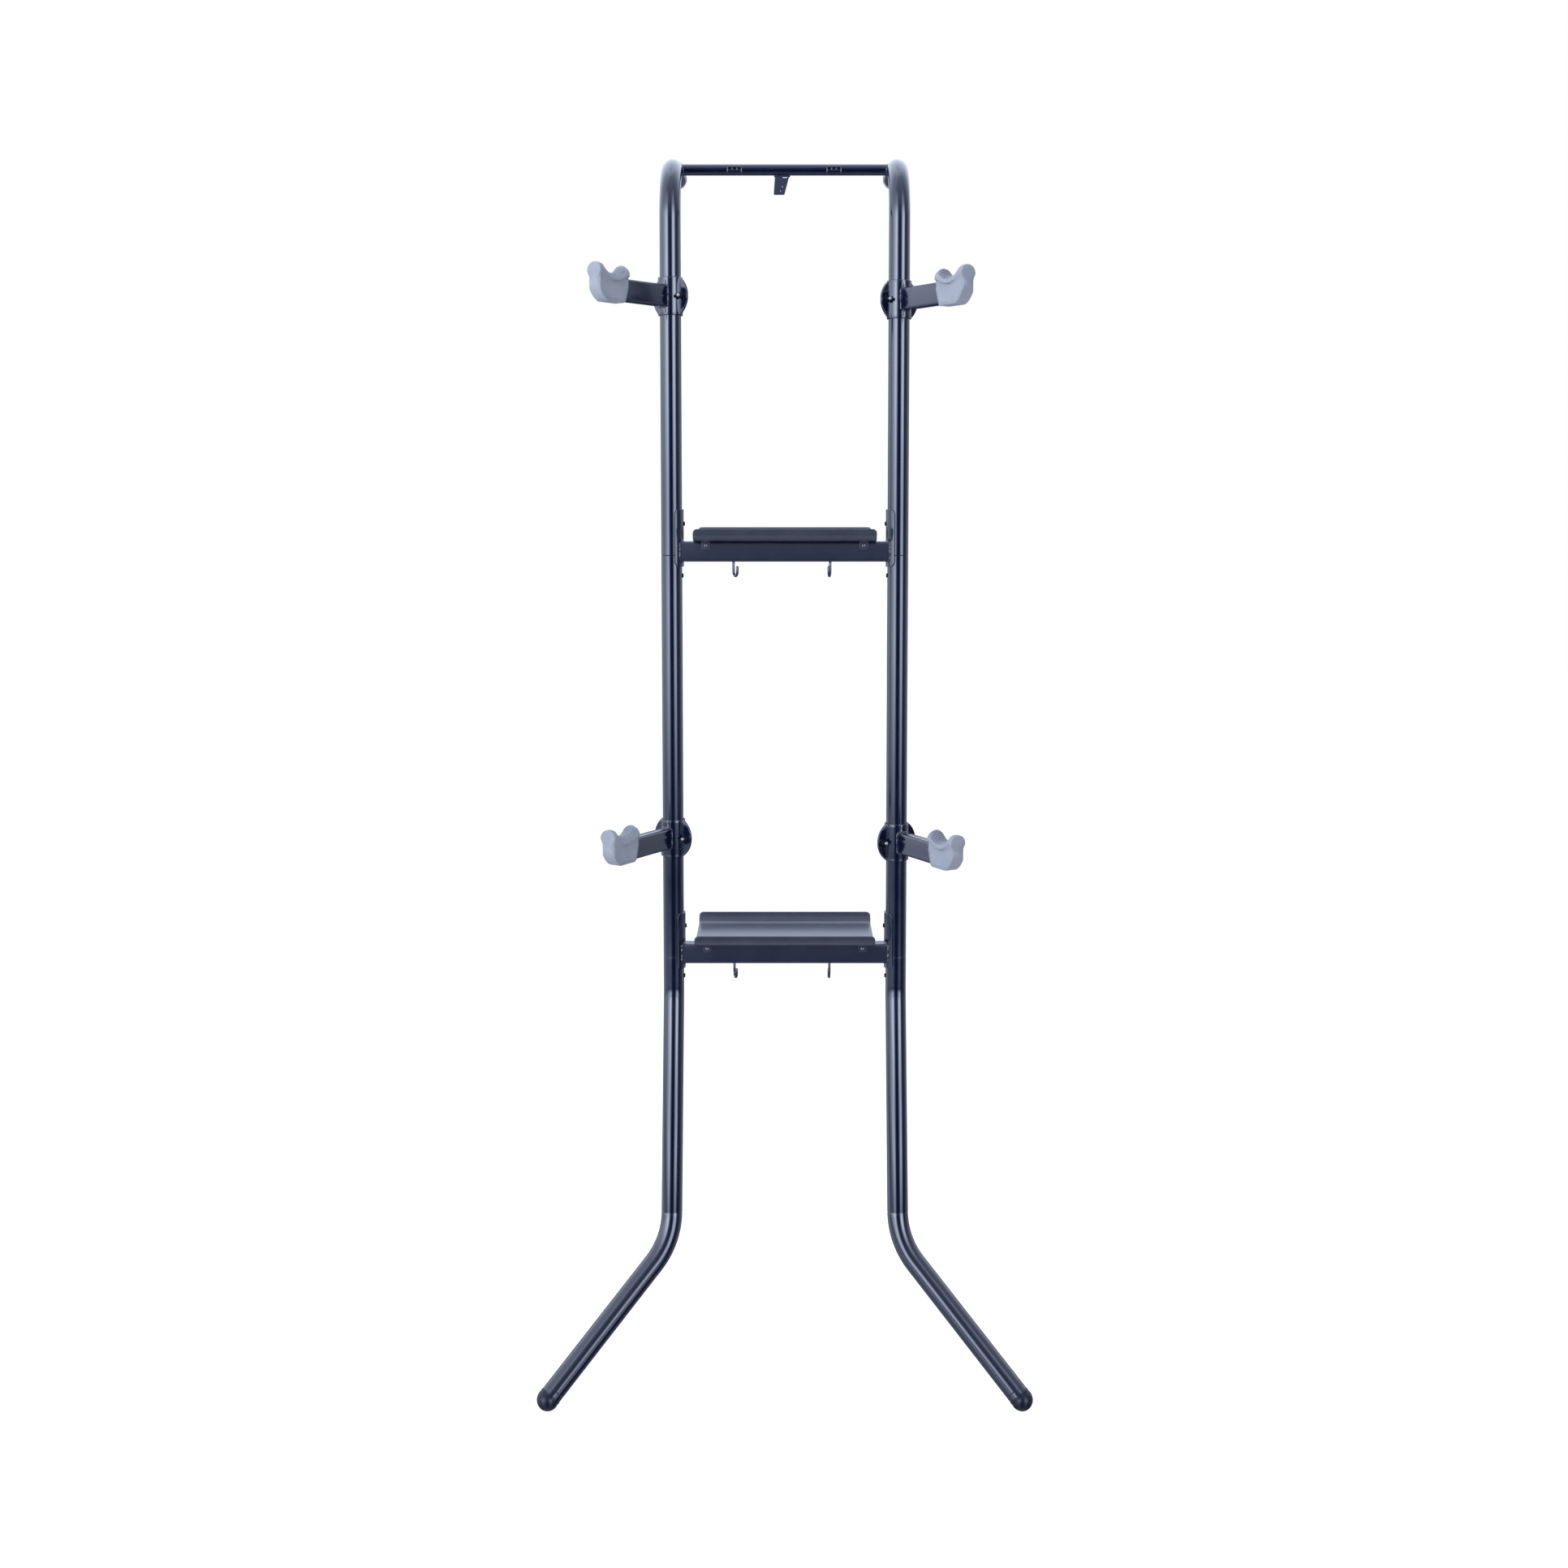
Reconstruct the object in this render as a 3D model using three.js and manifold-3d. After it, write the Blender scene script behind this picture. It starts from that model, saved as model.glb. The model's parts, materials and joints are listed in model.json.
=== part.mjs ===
// Two tier bike rack that leans on a wall, with two bent posts, two trays and four padded arms.
// Millimetres, +Z up, the wall on the +Y side, the origin on the floor below the middle.

import * as THREE from "three";
import { mergeVertices } from "three/addons/utils/BufferGeometryUtils.js";
import Module from "manifold-3d";

const wasm = await Module();
wasm.setup();

// Clearances
const fitGap = 0.3;
const runningGap = 0.25;
const cutOverrun = 3;

// Posts
const tubeRadius = 17.5;
const tubeWall = 1.5;
const postSpacing = 380;
const topRunHeight = 2033;
const topBendRadius = 95;
const topRunReach = 171.7;
const upperJointDrop = 7;
const lowerJointDrop = 5;
const spigotBeyondBolt = 6.5;
const spigotWall = 1.5;
const spigotNeck = 8;

// Legs
const kinkDrop = 65.5;
const kinkBendRadius = 120;
const kneeForward = 98;
const kneeHeight = 235;
const kneeBendRadius = 125;
const footOutward = 195;
const footForward = 214;

// End pieces
const footCapProud = 0.5;
const footCapSleeve = 17;
const capPlugLength = 20;
const bumperProud = 1.1;
const bumperThickness = 8;
const bumperRounding = 3;

// Top bar and what hangs on it
const topBarRadius = 9.5;
const topBarWall = 1.5;
const topBarRaise = 1.5;
const tabTopLeft = -21.7;
const tabTopRight = 10.1;
const tabBottomLeft = -19.1;
const tabBottomRight = -0.6;
const tabHeight = 32;
const tabThickness = 2.5;
const tabSlotWidth = 8.2;
const tabSlotHeight = 2.6;
const tabSlotDrop = 1.2;
const clipLeftPlace = -85.4;
const clipRightPlace = 83.5;
const clipWidth = 26;
const clipHeight = 8;
const clipWireRadius = 1.2;
const clipProngDrop = 4;
const clipProngBend = 3;

// Tiers
const upperCrossbarDrop = 645;
const lowerCrossbarHeight = 702.5;
const crossbarHeight = 34;
const crossbarDepth = 28;
const crossbarWall = 2;
const crossbarCorner = 5;
const saddleThickness = 2.5;
const saddleHeight = 96;
const saddleRaise = 22.5;
const saddleCorner = 9;
const saddleHalfSpread = 70;
const saddleBoltInset = 24;
const jointScrewBelow = 15;

// Trays
const trayEndGap = 19.8;
const trayDepth = 182;
const trayHeight = 21;
const traySetback = 46;
const trayThickness = 2;
const trayBendRadius = 20;
const trayCorner = 7;
const trayTabInset = 20.7;
const trayTabWidth = 14;
const trayTabHeight = 14;

// Screws
const screwHeadRadius = 4.25;
const screwHeadHeight = 3;
const screwShankRadius = 2;
const trayScrewLength = 9;
const postScrewHeadRadius = 4.5;
const postScrewShankRadius = 3;
const postScrewLength = 13;

// J-hooks
const hookLeftPlace = -86.2;
const hookRightPlace = 76.3;
const hookWireRadius = 2.2;
const hookBendRadius = 8;
const hookShankLength = 16;
const hookTipRise = 9;
const hookHeadRadius = 4.5;
const hookHeadThickness = 2;
const upperLeftHookTurn = 25;
const upperRightHookTurn = -10;
const lowerLeftHookTurn = 15;
const lowerRightHookTurn = -5;

// Clamps and arms
const linerThickness = 0.6;
const linerHeight = 60;
const linerSlit = 1.5;
const clampThickness = 2;
const flangeMargin = 10.5;
const flangeGap = 0.5;
const clampBoltGap = 6.4;
const clampBoltRadius = 2.5;
const clampBoltReach = 22;
const clampNutRadius = 5.7;
const clampNutHeight = 5;
const clampHeadHeight = 3.5;
const armThickness = 20;
const armHeight = 36;
const armWall = 2;
const armCorner = 4.5;
const upperLeftArmDrop = 222.4;
const upperRightArmDrop = 227.9;
const lowerLeftArmRaise = 200.1;
const lowerRightArmRaise = 192.7;
const upperLeftArmTurn = 38;
const upperRightArmTurn = 33;
const lowerLeftArmTurn = 32;
const lowerRightArmTurn = 29.5;

// Cradles
const cradleWall = 2.3;
const cradleRimProud = 2.7;
const cradleBottomWall = 3.3;
const cradleBottomBefore = 21.4;
const cradleBottomAfter = 14.5;
const cradleHeelDrop = 8;
const cradleEdgeRounding = 6;
const cradleEdgeInset = 5;
const cradleSocketDepth = 24;
const knobRounding = 6;
const knobSpread = 55;
const noseRounding = 6.5;
const noseSpread = 57;
const valleyPlace = 147;
const valleyWall = 6;
const valleyRadius = 28;
const recessDrop = 11.5;
const recessEdgeDrop = 3;
const recessHalfSpread = 37;

// Fineness of round surfaces
const roundCount = 20;
const smallRoundCount = 12;
const hexagonCount = 6;
const wireRoundCount = 8;
const cornerCount = 4;
const sectorCount = 12;
const tubeBendCount = 7;
const wireBendCount = 4;

// Derived sizes of the posts and what is fixed to them
const boreRadius = tubeRadius - tubeWall;
const plugRadius = boreRadius - fitGap;
const halfSpacing = postSpacing / 2;
const upperCrossbarHeight = topRunHeight - upperCrossbarDrop;
const upperJointHeight = upperCrossbarHeight - upperJointDrop;
const lowerJointHeight = lowerCrossbarHeight - lowerJointDrop;
const kinkHeight = lowerJointHeight - kinkDrop;
const footCapRadius = tubeRadius + footCapProud;
const bumperRadius = tubeRadius + bumperProud;
const topBarBack = topBendRadius;
const topBarHeight = topRunHeight + topBarRaise;
const wallReach = topRunReach + fitGap + bumperThickness;
const standOffset = (footForward + footCapRadius - wallReach) / 2;
const saddleInnerRadius = tubeRadius + fitGap;
const saddleOuterRadius = saddleInnerRadius + saddleThickness;
const saddleBoltRaise = saddleRaise + saddleHeight / 2 - saddleBoltInset;
const jointScrewDrop = saddleHeight / 2 - saddleRaise + jointScrewBelow;
const spigotLength = saddleBoltRaise + upperJointDrop + spigotBeyondBolt;

// Derived sizes of the trays, clamps and arms
const trayLength = postSpacing - 2 * (tubeRadius + trayEndGap);
const trayTabPlace = trayLength / 2 - trayTabInset;
const trayFloorRaise = crossbarHeight / 2 + fitGap;
const trayScrewRaise = trayFloorRaise - trayTabHeight / 2;
const upperLeftArmHeight = topRunHeight - upperLeftArmDrop;
const upperRightArmHeight = topRunHeight - upperRightArmDrop;
const lowerLeftArmHeight = lowerCrossbarHeight + lowerLeftArmRaise;
const lowerRightArmHeight = lowerCrossbarHeight + lowerRightArmRaise;
const linerInnerRadius = tubeRadius + runningGap;
const linerOuterRadius = linerInnerRadius + linerThickness;
const clampInnerRadius = linerOuterRadius + runningGap;
const clampOuterRadius = clampInnerRadius + clampThickness;
const clampBoltPlace = clampOuterRadius + clampBoltGap;
const flangeRadius = clampBoltPlace + flangeMargin;
const clampHeight = 2 * Math.sqrt(flangeRadius ** 2 - clampOuterRadius ** 2);

// Derived sizes of the cradles, about the arm's axis
const cradleBodyWidth = armThickness + 2 * cradleWall;
const cradleWidth = cradleBodyWidth + 2 * cradleRimProud;
const cradleBottomDrop = armHeight / 2 + cradleBottomWall;
const cradleBottomStart = valleyPlace - cradleBottomBefore;
const cradleBottomEnd = valleyPlace + cradleBottomAfter;
const valleyBottom = armHeight / 2 + valleyWall;
const recessEdgeHeight = valleyBottom - recessEdgeDrop;
const valleyCentre = new THREE.Vector2(valleyPlace, valleyBottom + valleyRadius);
const knobCentre = beyondValley(-1, valleyRadius + knobRounding, knobSpread);
const noseCentre = beyondValley(1, valleyRadius + noseRounding, noseSpread);
const cradleStart = knobCentre.x - knobRounding;
const cradleEnd = noseCentre.x + noseRounding;
const cradleSocketEnd = cradleStart + cradleSocketDepth;

// Materials
const finishes = {
  coat: { color: 0x1b2036, roughness: 0.35, metalness: 0.3 },
  rubber: { color: 0x8d97ad, roughness: 0.8, metalness: 0 },
  bumper: { color: 0xaeb6c8, roughness: 0.6, metalness: 0 },
  cap: { color: 0x1a1c26, roughness: 0.5, metalness: 0 },
  zinc: { color: 0xb9bcc4, roughness: 0.3, metalness: 1 },
  blackSteel: { color: 0x15161c, roughness: 0.4, metalness: 0.8 },
  sleeve: { color: 0x2b2d33, roughness: 0.6, metalness: 0 },
};

// Axes for turning a geometry made along +Z
const right = new THREE.Vector3(1, 0, 0);
const back = new THREE.Vector3(0, 1, 0);
const up = new THREE.Vector3(0, 0, 1);
const shapeFacingRight = new THREE.Matrix4().makeBasis(back, up, right);
const shapeFacingFront = new THREE.Matrix4().makeBasis(right, up, back.clone().negate());

function radians(degrees) {
  return THREE.MathUtils.degToRad(degrees);
}

// A closed solid from a geometry, for joining and cutting.
function solidOf(geometry) {
  const bare = new THREE.BufferGeometry();
  bare.setAttribute("position", geometry.getAttribute("position"));
  bare.setIndex(geometry.index);
  const merged = mergeVertices(bare);
  return new wasm.Manifold(
    new wasm.Mesh({
      numProp: 3,
      vertProperties: merged.attributes.position.array,
      triVerts: new Uint32Array(merged.index.array),
    }),
  );
}

function geometryOf(solid) {
  const { vertProperties, triVerts } = solid.getMesh();
  const geometry = new THREE.BufferGeometry();
  geometry.setAttribute("position", new THREE.BufferAttribute(vertProperties, 3));
  geometry.setIndex(new THREE.BufferAttribute(triVerts, 1));
  geometry.computeVertexNormals();
  return geometry;
}

function joined(first, ...others) {
  return others.reduce((whole, next) => whole.add(next), first);
}

function cutBy(body, ...cutters) {
  return cutters.reduce((whole, next) => whole.subtract(next), body);
}

function piece(name, solid, finish) {
  const mesh = new THREE.Mesh(geometryOf(solid), new THREE.MeshStandardMaterial(finishes[finish]));
  mesh.name = name;
  return mesh;
}

// Shapes
function circle(radius) {
  return new THREE.Shape().absarc(0, 0, radius, 0, 2 * Math.PI, false);
}

function roundedRectangle(width, height, corner) {
  const x = width / 2 - corner;
  const y = height / 2 - corner;
  return new THREE.Shape()
    .absarc(x, y, corner, 0, Math.PI / 2, false)
    .absarc(-x, y, corner, Math.PI / 2, Math.PI, false)
    .absarc(-x, -y, corner, Math.PI, 1.5 * Math.PI, false)
    .absarc(x, -y, corner, 1.5 * Math.PI, 2 * Math.PI, false);
}

function withHoles(shape, ...holes) {
  shape.holes.push(...holes);
  return shape;
}

function arcSector(innerRadius, outerRadius, startAngle, endAngle) {
  return new THREE.Shape()
    .absarc(0, 0, outerRadius, startAngle, endAngle, false)
    .absarc(0, 0, innerRadius, endAngle, startAngle, true);
}

// Straight extrusions
function extruded(shape, depth, count = roundCount) {
  return new THREE.ExtrudeGeometry(shape, { depth, bevelEnabled: false, curveSegments: count / 2 });
}

function upright(shape, bottom, top, count) {
  return solidOf(extruded(shape, top - bottom, count).translate(0, 0, bottom));
}

// A shape drawn in (Y, Z) that runs along X.
function crosswise(shape, left, rightEnd, count) {
  const geometry = extruded(shape, rightEnd - left, count).translate(0, 0, left);
  return solidOf(geometry.applyMatrix4(shapeFacingRight));
}

// A shape drawn in (X, Z) that runs along Y.
function lengthwise(shape, front, rear, count) {
  const geometry = extruded(shape, rear - front, count).translate(0, 0, -rear);
  return solidOf(geometry.applyMatrix4(shapeFacingFront));
}

function box(xLow, xHigh, yLow, yHigh, zLow, zHigh) {
  const geometry = new THREE.BoxGeometry(xHigh - xLow, yHigh - yLow, zHigh - zLow);
  return solidOf(
    geometry.translate((xLow + xHigh) / 2, (yLow + yHigh) / 2, (zLow + zHigh) / 2),
  );
}

// A turned piece about +Z. The profile is a list of [radius, height] pairs, anticlockwise.
function turned(profile, count = roundCount) {
  const points = profile.map(([radius, height]) => new THREE.Vector2(radius, height));
  return solidOf(new THREE.LatheGeometry(points, count).rotateX(Math.PI / 2));
}

// A rod along X from one place to another.
function crossRod(radius, left, rightEnd, y, z, count = smallRoundCount) {
  const geometry = extruded(circle(radius), rightEnd - left, count).translate(0, 0, left);
  return solidOf(geometry.applyMatrix4(shapeFacingRight).translate(0, y, z));
}

// A path through corners that are rounded by arcs, with stations only where the path turns.
class BentPath extends THREE.Curve {
  constructor(corners, bendRadii, bendCount) {
    super();
    this.bendCount = bendCount;
    this.stations = [];
    this.tangents = [];
    const directions = corners.slice(1).map((c, i) => c.clone().sub(corners[i]).normalize());
    this.addStation(corners[0], directions[0]);
    bendRadii.forEach((radius, i) => {
      this.addBend(corners[i + 1], directions[i], directions[i + 1], radius);
    });
    this.addStation(corners.at(-1), directions.at(-1));
  }

  addStation(point, tangent) {
    const last = this.stations.at(-1);
    if (last && last.distanceTo(point) < fitGap / roundCount) return;
    this.stations.push(point.clone());
    this.tangents.push(tangent.clone());
  }

  addBend(corner, inward, outward, radius) {
    const angle = inward.angleTo(outward);
    const axis = inward.clone().cross(outward).normalize();
    const start = corner.clone().addScaledVector(inward, -radius * Math.tan(angle / 2));
    const centre = start.clone().addScaledVector(axis.clone().cross(inward), radius);
    const steps = Math.max(2, Math.round((this.bendCount * angle) / (Math.PI / 2)));
    for (let i = 0; i <= steps; i += 1) {
      const turn = (angle * i) / steps;
      const spoke = start.clone().sub(centre).applyAxisAngle(axis, turn);
      this.addStation(spoke.add(centre), inward.clone().applyAxisAngle(axis, turn));
    }
  }

  getSpacedPoints() {
    return this.stations;
  }

  getTangentAt(share, target = new THREE.Vector3()) {
    return target.copy(this.tangents[Math.round(share * (this.tangents.length - 1))]);
  }
}

function swept(shape, extrudePath, count) {
  const steps = extrudePath.stations.length - 1;
  const options = { extrudePath, steps, curveSegments: count / 2 };
  return solidOf(new THREE.ExtrudeGeometry(shape, options));
}

function tubeSection() {
  return withHoles(circle(tubeRadius), circle(boreRadius));
}

function bentTube(corners, bendRadii) {
  return swept(tubeSection(), new BentPath(corners, bendRadii, tubeBendCount), roundCount);
}

function bentWire(radius, corners, bendRadii) {
  return swept(circle(radius), new BentPath(corners, bendRadii, wireBendCount), wireRoundCount);
}

// Posts, each about its own vertical axis. towardMiddle is +1 on the left post and -1 on the right.
function screwHole(towardMiddle, height) {
  const reach = saddleOuterRadius + cutOverrun;
  const ends = [0, towardMiddle * reach].sort((a, b) => a - b);
  return crossRod(postScrewShankRadius + fitGap, ends[0], ends[1], 0, height);
}

// The reduced end that a lower section pushes into the one above, rooted in its own wall.
function spigot(shoulder) {
  const inner = plugRadius - spigotWall;
  const rooted = (tubeRadius + boreRadius) / 2;
  const bottom = shoulder - spigotNeck;
  const neckTop = shoulder - tubeWall;
  return turned([
    [inner, bottom],
    [rooted, bottom],
    [rooted, neckTop],
    [plugRadius, neckTop],
    [plugRadius, shoulder + spigotLength],
    [inner, shoulder + spigotLength],
    [inner, bottom],
  ]);
}

function upperPost(towardMiddle) {
  const corners = [
    new THREE.Vector3(0, topRunReach, topRunHeight),
    new THREE.Vector3(0, 0, topRunHeight),
    new THREE.Vector3(0, 0, upperJointHeight + fitGap),
  ];
  const tube = bentTube(corners, [topBendRadius]);
  return cutBy(tube, screwHole(towardMiddle, upperCrossbarHeight + saddleBoltRaise));
}

function middlePost(towardMiddle) {
  const tube = upright(tubeSection(), lowerJointHeight + fitGap, upperJointHeight);
  return cutBy(
    joined(tube, spigot(upperJointHeight)),
    screwHole(towardMiddle, upperCrossbarHeight + saddleBoltRaise),
    screwHole(towardMiddle, upperCrossbarHeight - jointScrewDrop),
    screwHole(towardMiddle, lowerCrossbarHeight + saddleBoltRaise),
  );
}

// Where the leg's axis ends, seen from the post's axis at floor level.
function footCentre(outward) {
  return new THREE.Vector3(outward * footOutward, -footForward, footCapRadius);
}

function kneeCentre() {
  return new THREE.Vector3(0, -kneeForward, kneeHeight);
}

function footDirection(outward) {
  return footCentre(outward).sub(kneeCentre()).normalize();
}

function leg(outward) {
  const end = footCentre(outward).addScaledVector(footDirection(outward), -footCapSleeve - fitGap);
  const corners = [
    new THREE.Vector3(0, 0, lowerJointHeight),
    new THREE.Vector3(0, 0, kinkHeight),
    kneeCentre(),
    end,
  ];
  const tube = bentTube(corners, [kinkBendRadius, kneeBendRadius]);
  return cutBy(
    joined(tube, spigot(lowerJointHeight)),
    screwHole(-outward, lowerCrossbarHeight + saddleBoltRaise),
    screwHole(-outward, lowerCrossbarHeight - jointScrewDrop),
  );
}

// A domed cap whose dome is centred on the origin, with its plug pointing down -Z.
function footCap() {
  const dome = [];
  const steps = cornerCount;
  for (let i = 0; i <= steps; i += 1) {
    const angle = ((Math.PI / 2) * i) / steps;
    dome.push([i === steps ? 0 : footCapRadius * Math.cos(angle), footCapRadius * Math.sin(angle)]);
  }
  const bottom = -footCapSleeve - capPlugLength;
  return turned([
    [0, bottom],
    [plugRadius, bottom],
    [plugRadius, -footCapSleeve],
    [footCapRadius, -footCapSleeve],
    ...dome,
  ]);
}

// A bumper that points up +Z, with its plug below the origin and its flange above.
function wallBumper() {
  const rim = [];
  const steps = cornerCount / 2;
  for (let i = 0; i <= steps; i += 1) {
    const angle = ((Math.PI / 2) * i) / steps;
    rim.push([
      bumperRadius - bumperRounding * (1 - Math.cos(angle)),
      bumperThickness - bumperRounding * (1 - Math.sin(angle)),
    ]);
  }
  return turned([
    [0, -capPlugLength],
    [plugRadius, -capPlugLength],
    [plugRadius, 0],
    [bumperRadius, 0],
    ...rim,
    [0, bumperThickness],
  ]);
}

// The top bar runs between the two back-bent runs and is shaped to them at its ends.
function topBar() {
  const section = withHoles(circle(topBarRadius), circle(topBarRadius - topBarWall));
  const bar = crosswise(section, -halfSpacing, halfSpacing);
  const placed = bar.translate([0, topBarBack, topBarHeight]);
  const copes = [-halfSpacing, halfSpacing].map((x) =>
    lengthwise(circle(saddleInnerRadius), 0, topRunReach).translate([x, 0, topRunHeight]),
  );
  return cutBy(placed, ...copes);
}

function tetherTab() {
  const top = topBarHeight - topBarRadius - fitGap;
  const bottom = top - tabHeight;
  const slotTop = top - tabSlotDrop;
  const slotCorner = tabSlotHeight / 2;
  const plate = new THREE.Shape([
    new THREE.Vector2(tabBottomLeft, bottom),
    new THREE.Vector2(tabBottomRight, bottom),
    new THREE.Vector2(tabTopRight, top),
    new THREE.Vector2(tabTopLeft, top),
  ]);
  const front = topBarBack - tabThickness / 2;
  const slot = roundedRectangle(tabSlotWidth, tabSlotHeight, slotCorner - tabSlotDrop / roundCount);
  const cutter = lengthwise(slot, front - cutOverrun, front + tabThickness + cutOverrun, cornerCount);
  return cutBy(
    lengthwise(plate, front, front + tabThickness),
    cutter.translate([0, 0, slotTop - slotCorner]),
  );
}

// A flattened wire clip with three windows and a prong at each end, about its own middle.
function hangingClip() {
  const wire = 2 * clipWireRadius;
  const windowHeight = clipHeight - 2 * wire;
  const windowWidth = (clipWidth - 4 * wire) / 3;
  const plate = lengthwise(
    roundedRectangle(clipWidth, clipHeight, wire),
    -clipWireRadius,
    clipWireRadius,
    cornerCount,
  );
  const windows = [-1, 0, 1].map((step) => {
    const middle = step * (windowWidth + wire);
    const edge = windowWidth / 2;
    const high = windowHeight / 2;
    return box(middle - edge, middle + edge, -wire, wire, -high, high);
  });
  const band = cutBy(plate, ...windows);
  const prongs = [-1, 1].map((sign) => {
    const x = sign * (clipWidth / 2 - clipWireRadius);
    const bottom = -clipHeight / 2 - clipProngDrop;
    const front = -2 * clipProngBend;
    const corners = [
      new THREE.Vector3(x, 0, 0),
      new THREE.Vector3(x, 0, bottom),
      new THREE.Vector3(x, front, bottom),
      new THREE.Vector3(x, front, bottom + clipProngBend + clipProngDrop),
    ];
    return bentWire(clipWireRadius, corners, [clipProngBend, clipProngBend]);
  });
  return joined(band, ...prongs);
}

// A cross tube with its two saddle plates, about the cross tube's own middle.
function saddlePlate(side) {
  const facing = side < 0 ? 0 : Math.PI;
  const spread = radians(saddleHalfSpread);
  const sector = arcSector(saddleInnerRadius, saddleOuterRadius, facing - spread, facing + spread);
  const bottom = saddleRaise - saddleHeight / 2;
  const plate = upright(sector, bottom, bottom + saddleHeight, sectorCount);
  const width = 2 * saddleOuterRadius * Math.sin(spread);
  const outline = roundedRectangle(width, saddleHeight, saddleCorner);
  const ends = [0, -side * (saddleOuterRadius + cutOverrun)].sort((a, b) => a - b);
  const window = crosswise(outline, ends[0], ends[1], cornerCount);
  return cutBy(
    plate.intersect(window.translate([0, 0, saddleRaise])),
    screwHole(-side, saddleBoltRaise),
  ).translate([side * halfSpacing, 0, 0]);
}

function hookHole(x) {
  const bottom = -crossbarHeight / 2;
  const hole = circle(hookWireRadius + fitGap);
  const drilled = upright(hole, bottom - cutOverrun, bottom + crossbarWall + cutOverrun, smallRoundCount);
  return drilled.translate([x, 0, 0]);
}

function trayScrewHole(x) {
  const front = -crossbarDepth / 2;
  const hole = circle(screwShankRadius + fitGap);
  const reach = crossbarWall + fitGap + trayThickness + cutOverrun;
  const drilled = lengthwise(hole, front - reach, front + crossbarWall + cutOverrun, smallRoundCount);
  return drilled.translate([x, 0, trayScrewRaise]);
}

function crossbar() {
  const inner = roundedRectangle(
    crossbarDepth - 2 * crossbarWall,
    crossbarHeight - 2 * crossbarWall,
    crossbarCorner - crossbarWall,
  );
  const section = withHoles(roundedRectangle(crossbarDepth, crossbarHeight, crossbarCorner), inner);
  const rooted = (saddleInnerRadius + saddleOuterRadius) / 2;
  const tube = crosswise(section, -halfSpacing, halfSpacing, cornerCount);
  const copes = [-halfSpacing, halfSpacing].map((x) =>
    upright(circle(rooted), -crossbarHeight, crossbarHeight).translate([x, 0, 0]),
  );
  return cutBy(
    joined(cutBy(tube, ...copes), saddlePlate(-1), saddlePlate(1)),
    hookHole(hookLeftPlace),
    hookHole(hookRightPlace),
    trayScrewHole(-trayTabPlace),
    trayScrewHole(trayTabPlace),
  );
}

// A bent sheet tray whose floor rests on the cross tube near its front, about the cross tube's middle.
function tray() {
  const edge = trayDepth / 2;
  const bend = edge - trayBendRadius;
  const inside = trayBendRadius - trayThickness;
  const sheet = new THREE.Shape()
    .moveTo(-edge, trayHeight)
    .absarc(-bend, trayBendRadius, trayBendRadius, Math.PI, 1.5 * Math.PI, false)
    .absarc(bend, trayBendRadius, trayBendRadius, 1.5 * Math.PI, 2 * Math.PI, false)
    .lineTo(edge, trayHeight)
    .lineTo(edge - trayThickness, trayHeight)
    .absarc(bend, trayBendRadius, inside, 2 * Math.PI, 1.5 * Math.PI, true)
    .absarc(-bend, trayBendRadius, inside, 1.5 * Math.PI, Math.PI, true)
    .lineTo(-edge + trayThickness, trayHeight);
  const half = trayLength / 2;
  const outline = new THREE.Shape()
    .moveTo(-half, 0)
    .lineTo(half, 0)
    .absarc(half - trayCorner, trayHeight - trayCorner, trayCorner, 0, Math.PI / 2, false)
    .absarc(-half + trayCorner, trayHeight - trayCorner, trayCorner, Math.PI / 2, Math.PI, false);
  const bent = crosswise(sheet, -half, half, 2 * cornerCount).intersect(
    lengthwise(outline, -trayDepth, trayDepth, cornerCount),
  );
  const tabs = [-trayTabPlace, trayTabPlace].map((x) =>
    box(
      x - trayTabWidth / 2,
      x + trayTabWidth / 2,
      -crossbarDepth / 2 - fitGap - trayThickness,
      -crossbarDepth / 2 - fitGap,
      -trayTabHeight,
      trayThickness / 2,
    ),
  );
  return cutBy(
    joined(bent.translate([0, traySetback, 0]), ...tabs).translate([0, 0, trayFloorRaise]),
    trayScrewHole(-trayTabPlace),
    trayScrewHole(trayTabPlace),
  );
}

// A round head screw that points down -Z, with the underside of its head at the origin.
function screw(headRadius, shankRadius, length) {
  const chamfer = screwHeadHeight / 3;
  return turned(
    [
      [0, -length],
      [shankRadius, -length],
      [shankRadius, 0],
      [headRadius, 0],
      [headRadius, screwHeadHeight - chamfer],
      [headRadius - chamfer, screwHeadHeight],
      [0, screwHeadHeight],
    ],
    wireRoundCount,
  );
}

// A bent wire hook that hangs from the cross tube's lower wall and opens to the front.
function hangingHook() {
  const tubeBottom = -crossbarHeight / 2;
  const headBottom = tubeBottom + crossbarWall + fitGap;
  const bottom = tubeBottom - hookShankLength - hookBendRadius;
  const front = -2 * hookBendRadius;
  const corners = [
    new THREE.Vector3(0, 0, headBottom + hookHeadThickness / 2),
    new THREE.Vector3(0, 0, bottom),
    new THREE.Vector3(0, front, bottom),
    new THREE.Vector3(0, front, bottom + hookBendRadius + hookTipRise),
  ];
  const wire = bentWire(hookWireRadius, corners, [hookBendRadius, hookBendRadius]);
  const head = upright(circle(hookHeadRadius), headBottom, headBottom + hookHeadThickness, smallRoundCount);
  return joined(wire, head);
}

// Clamp pieces and arms, about the post's axis at the arm's height, with the arm along +X.
function liner() {
  const slit = linerSlit / linerOuterRadius / 2;
  const sector = arcSector(linerInnerRadius, linerOuterRadius, slit - Math.PI, Math.PI - slit);
  return upright(sector, -linerHeight / 2, linerHeight / 2);
}

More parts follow.
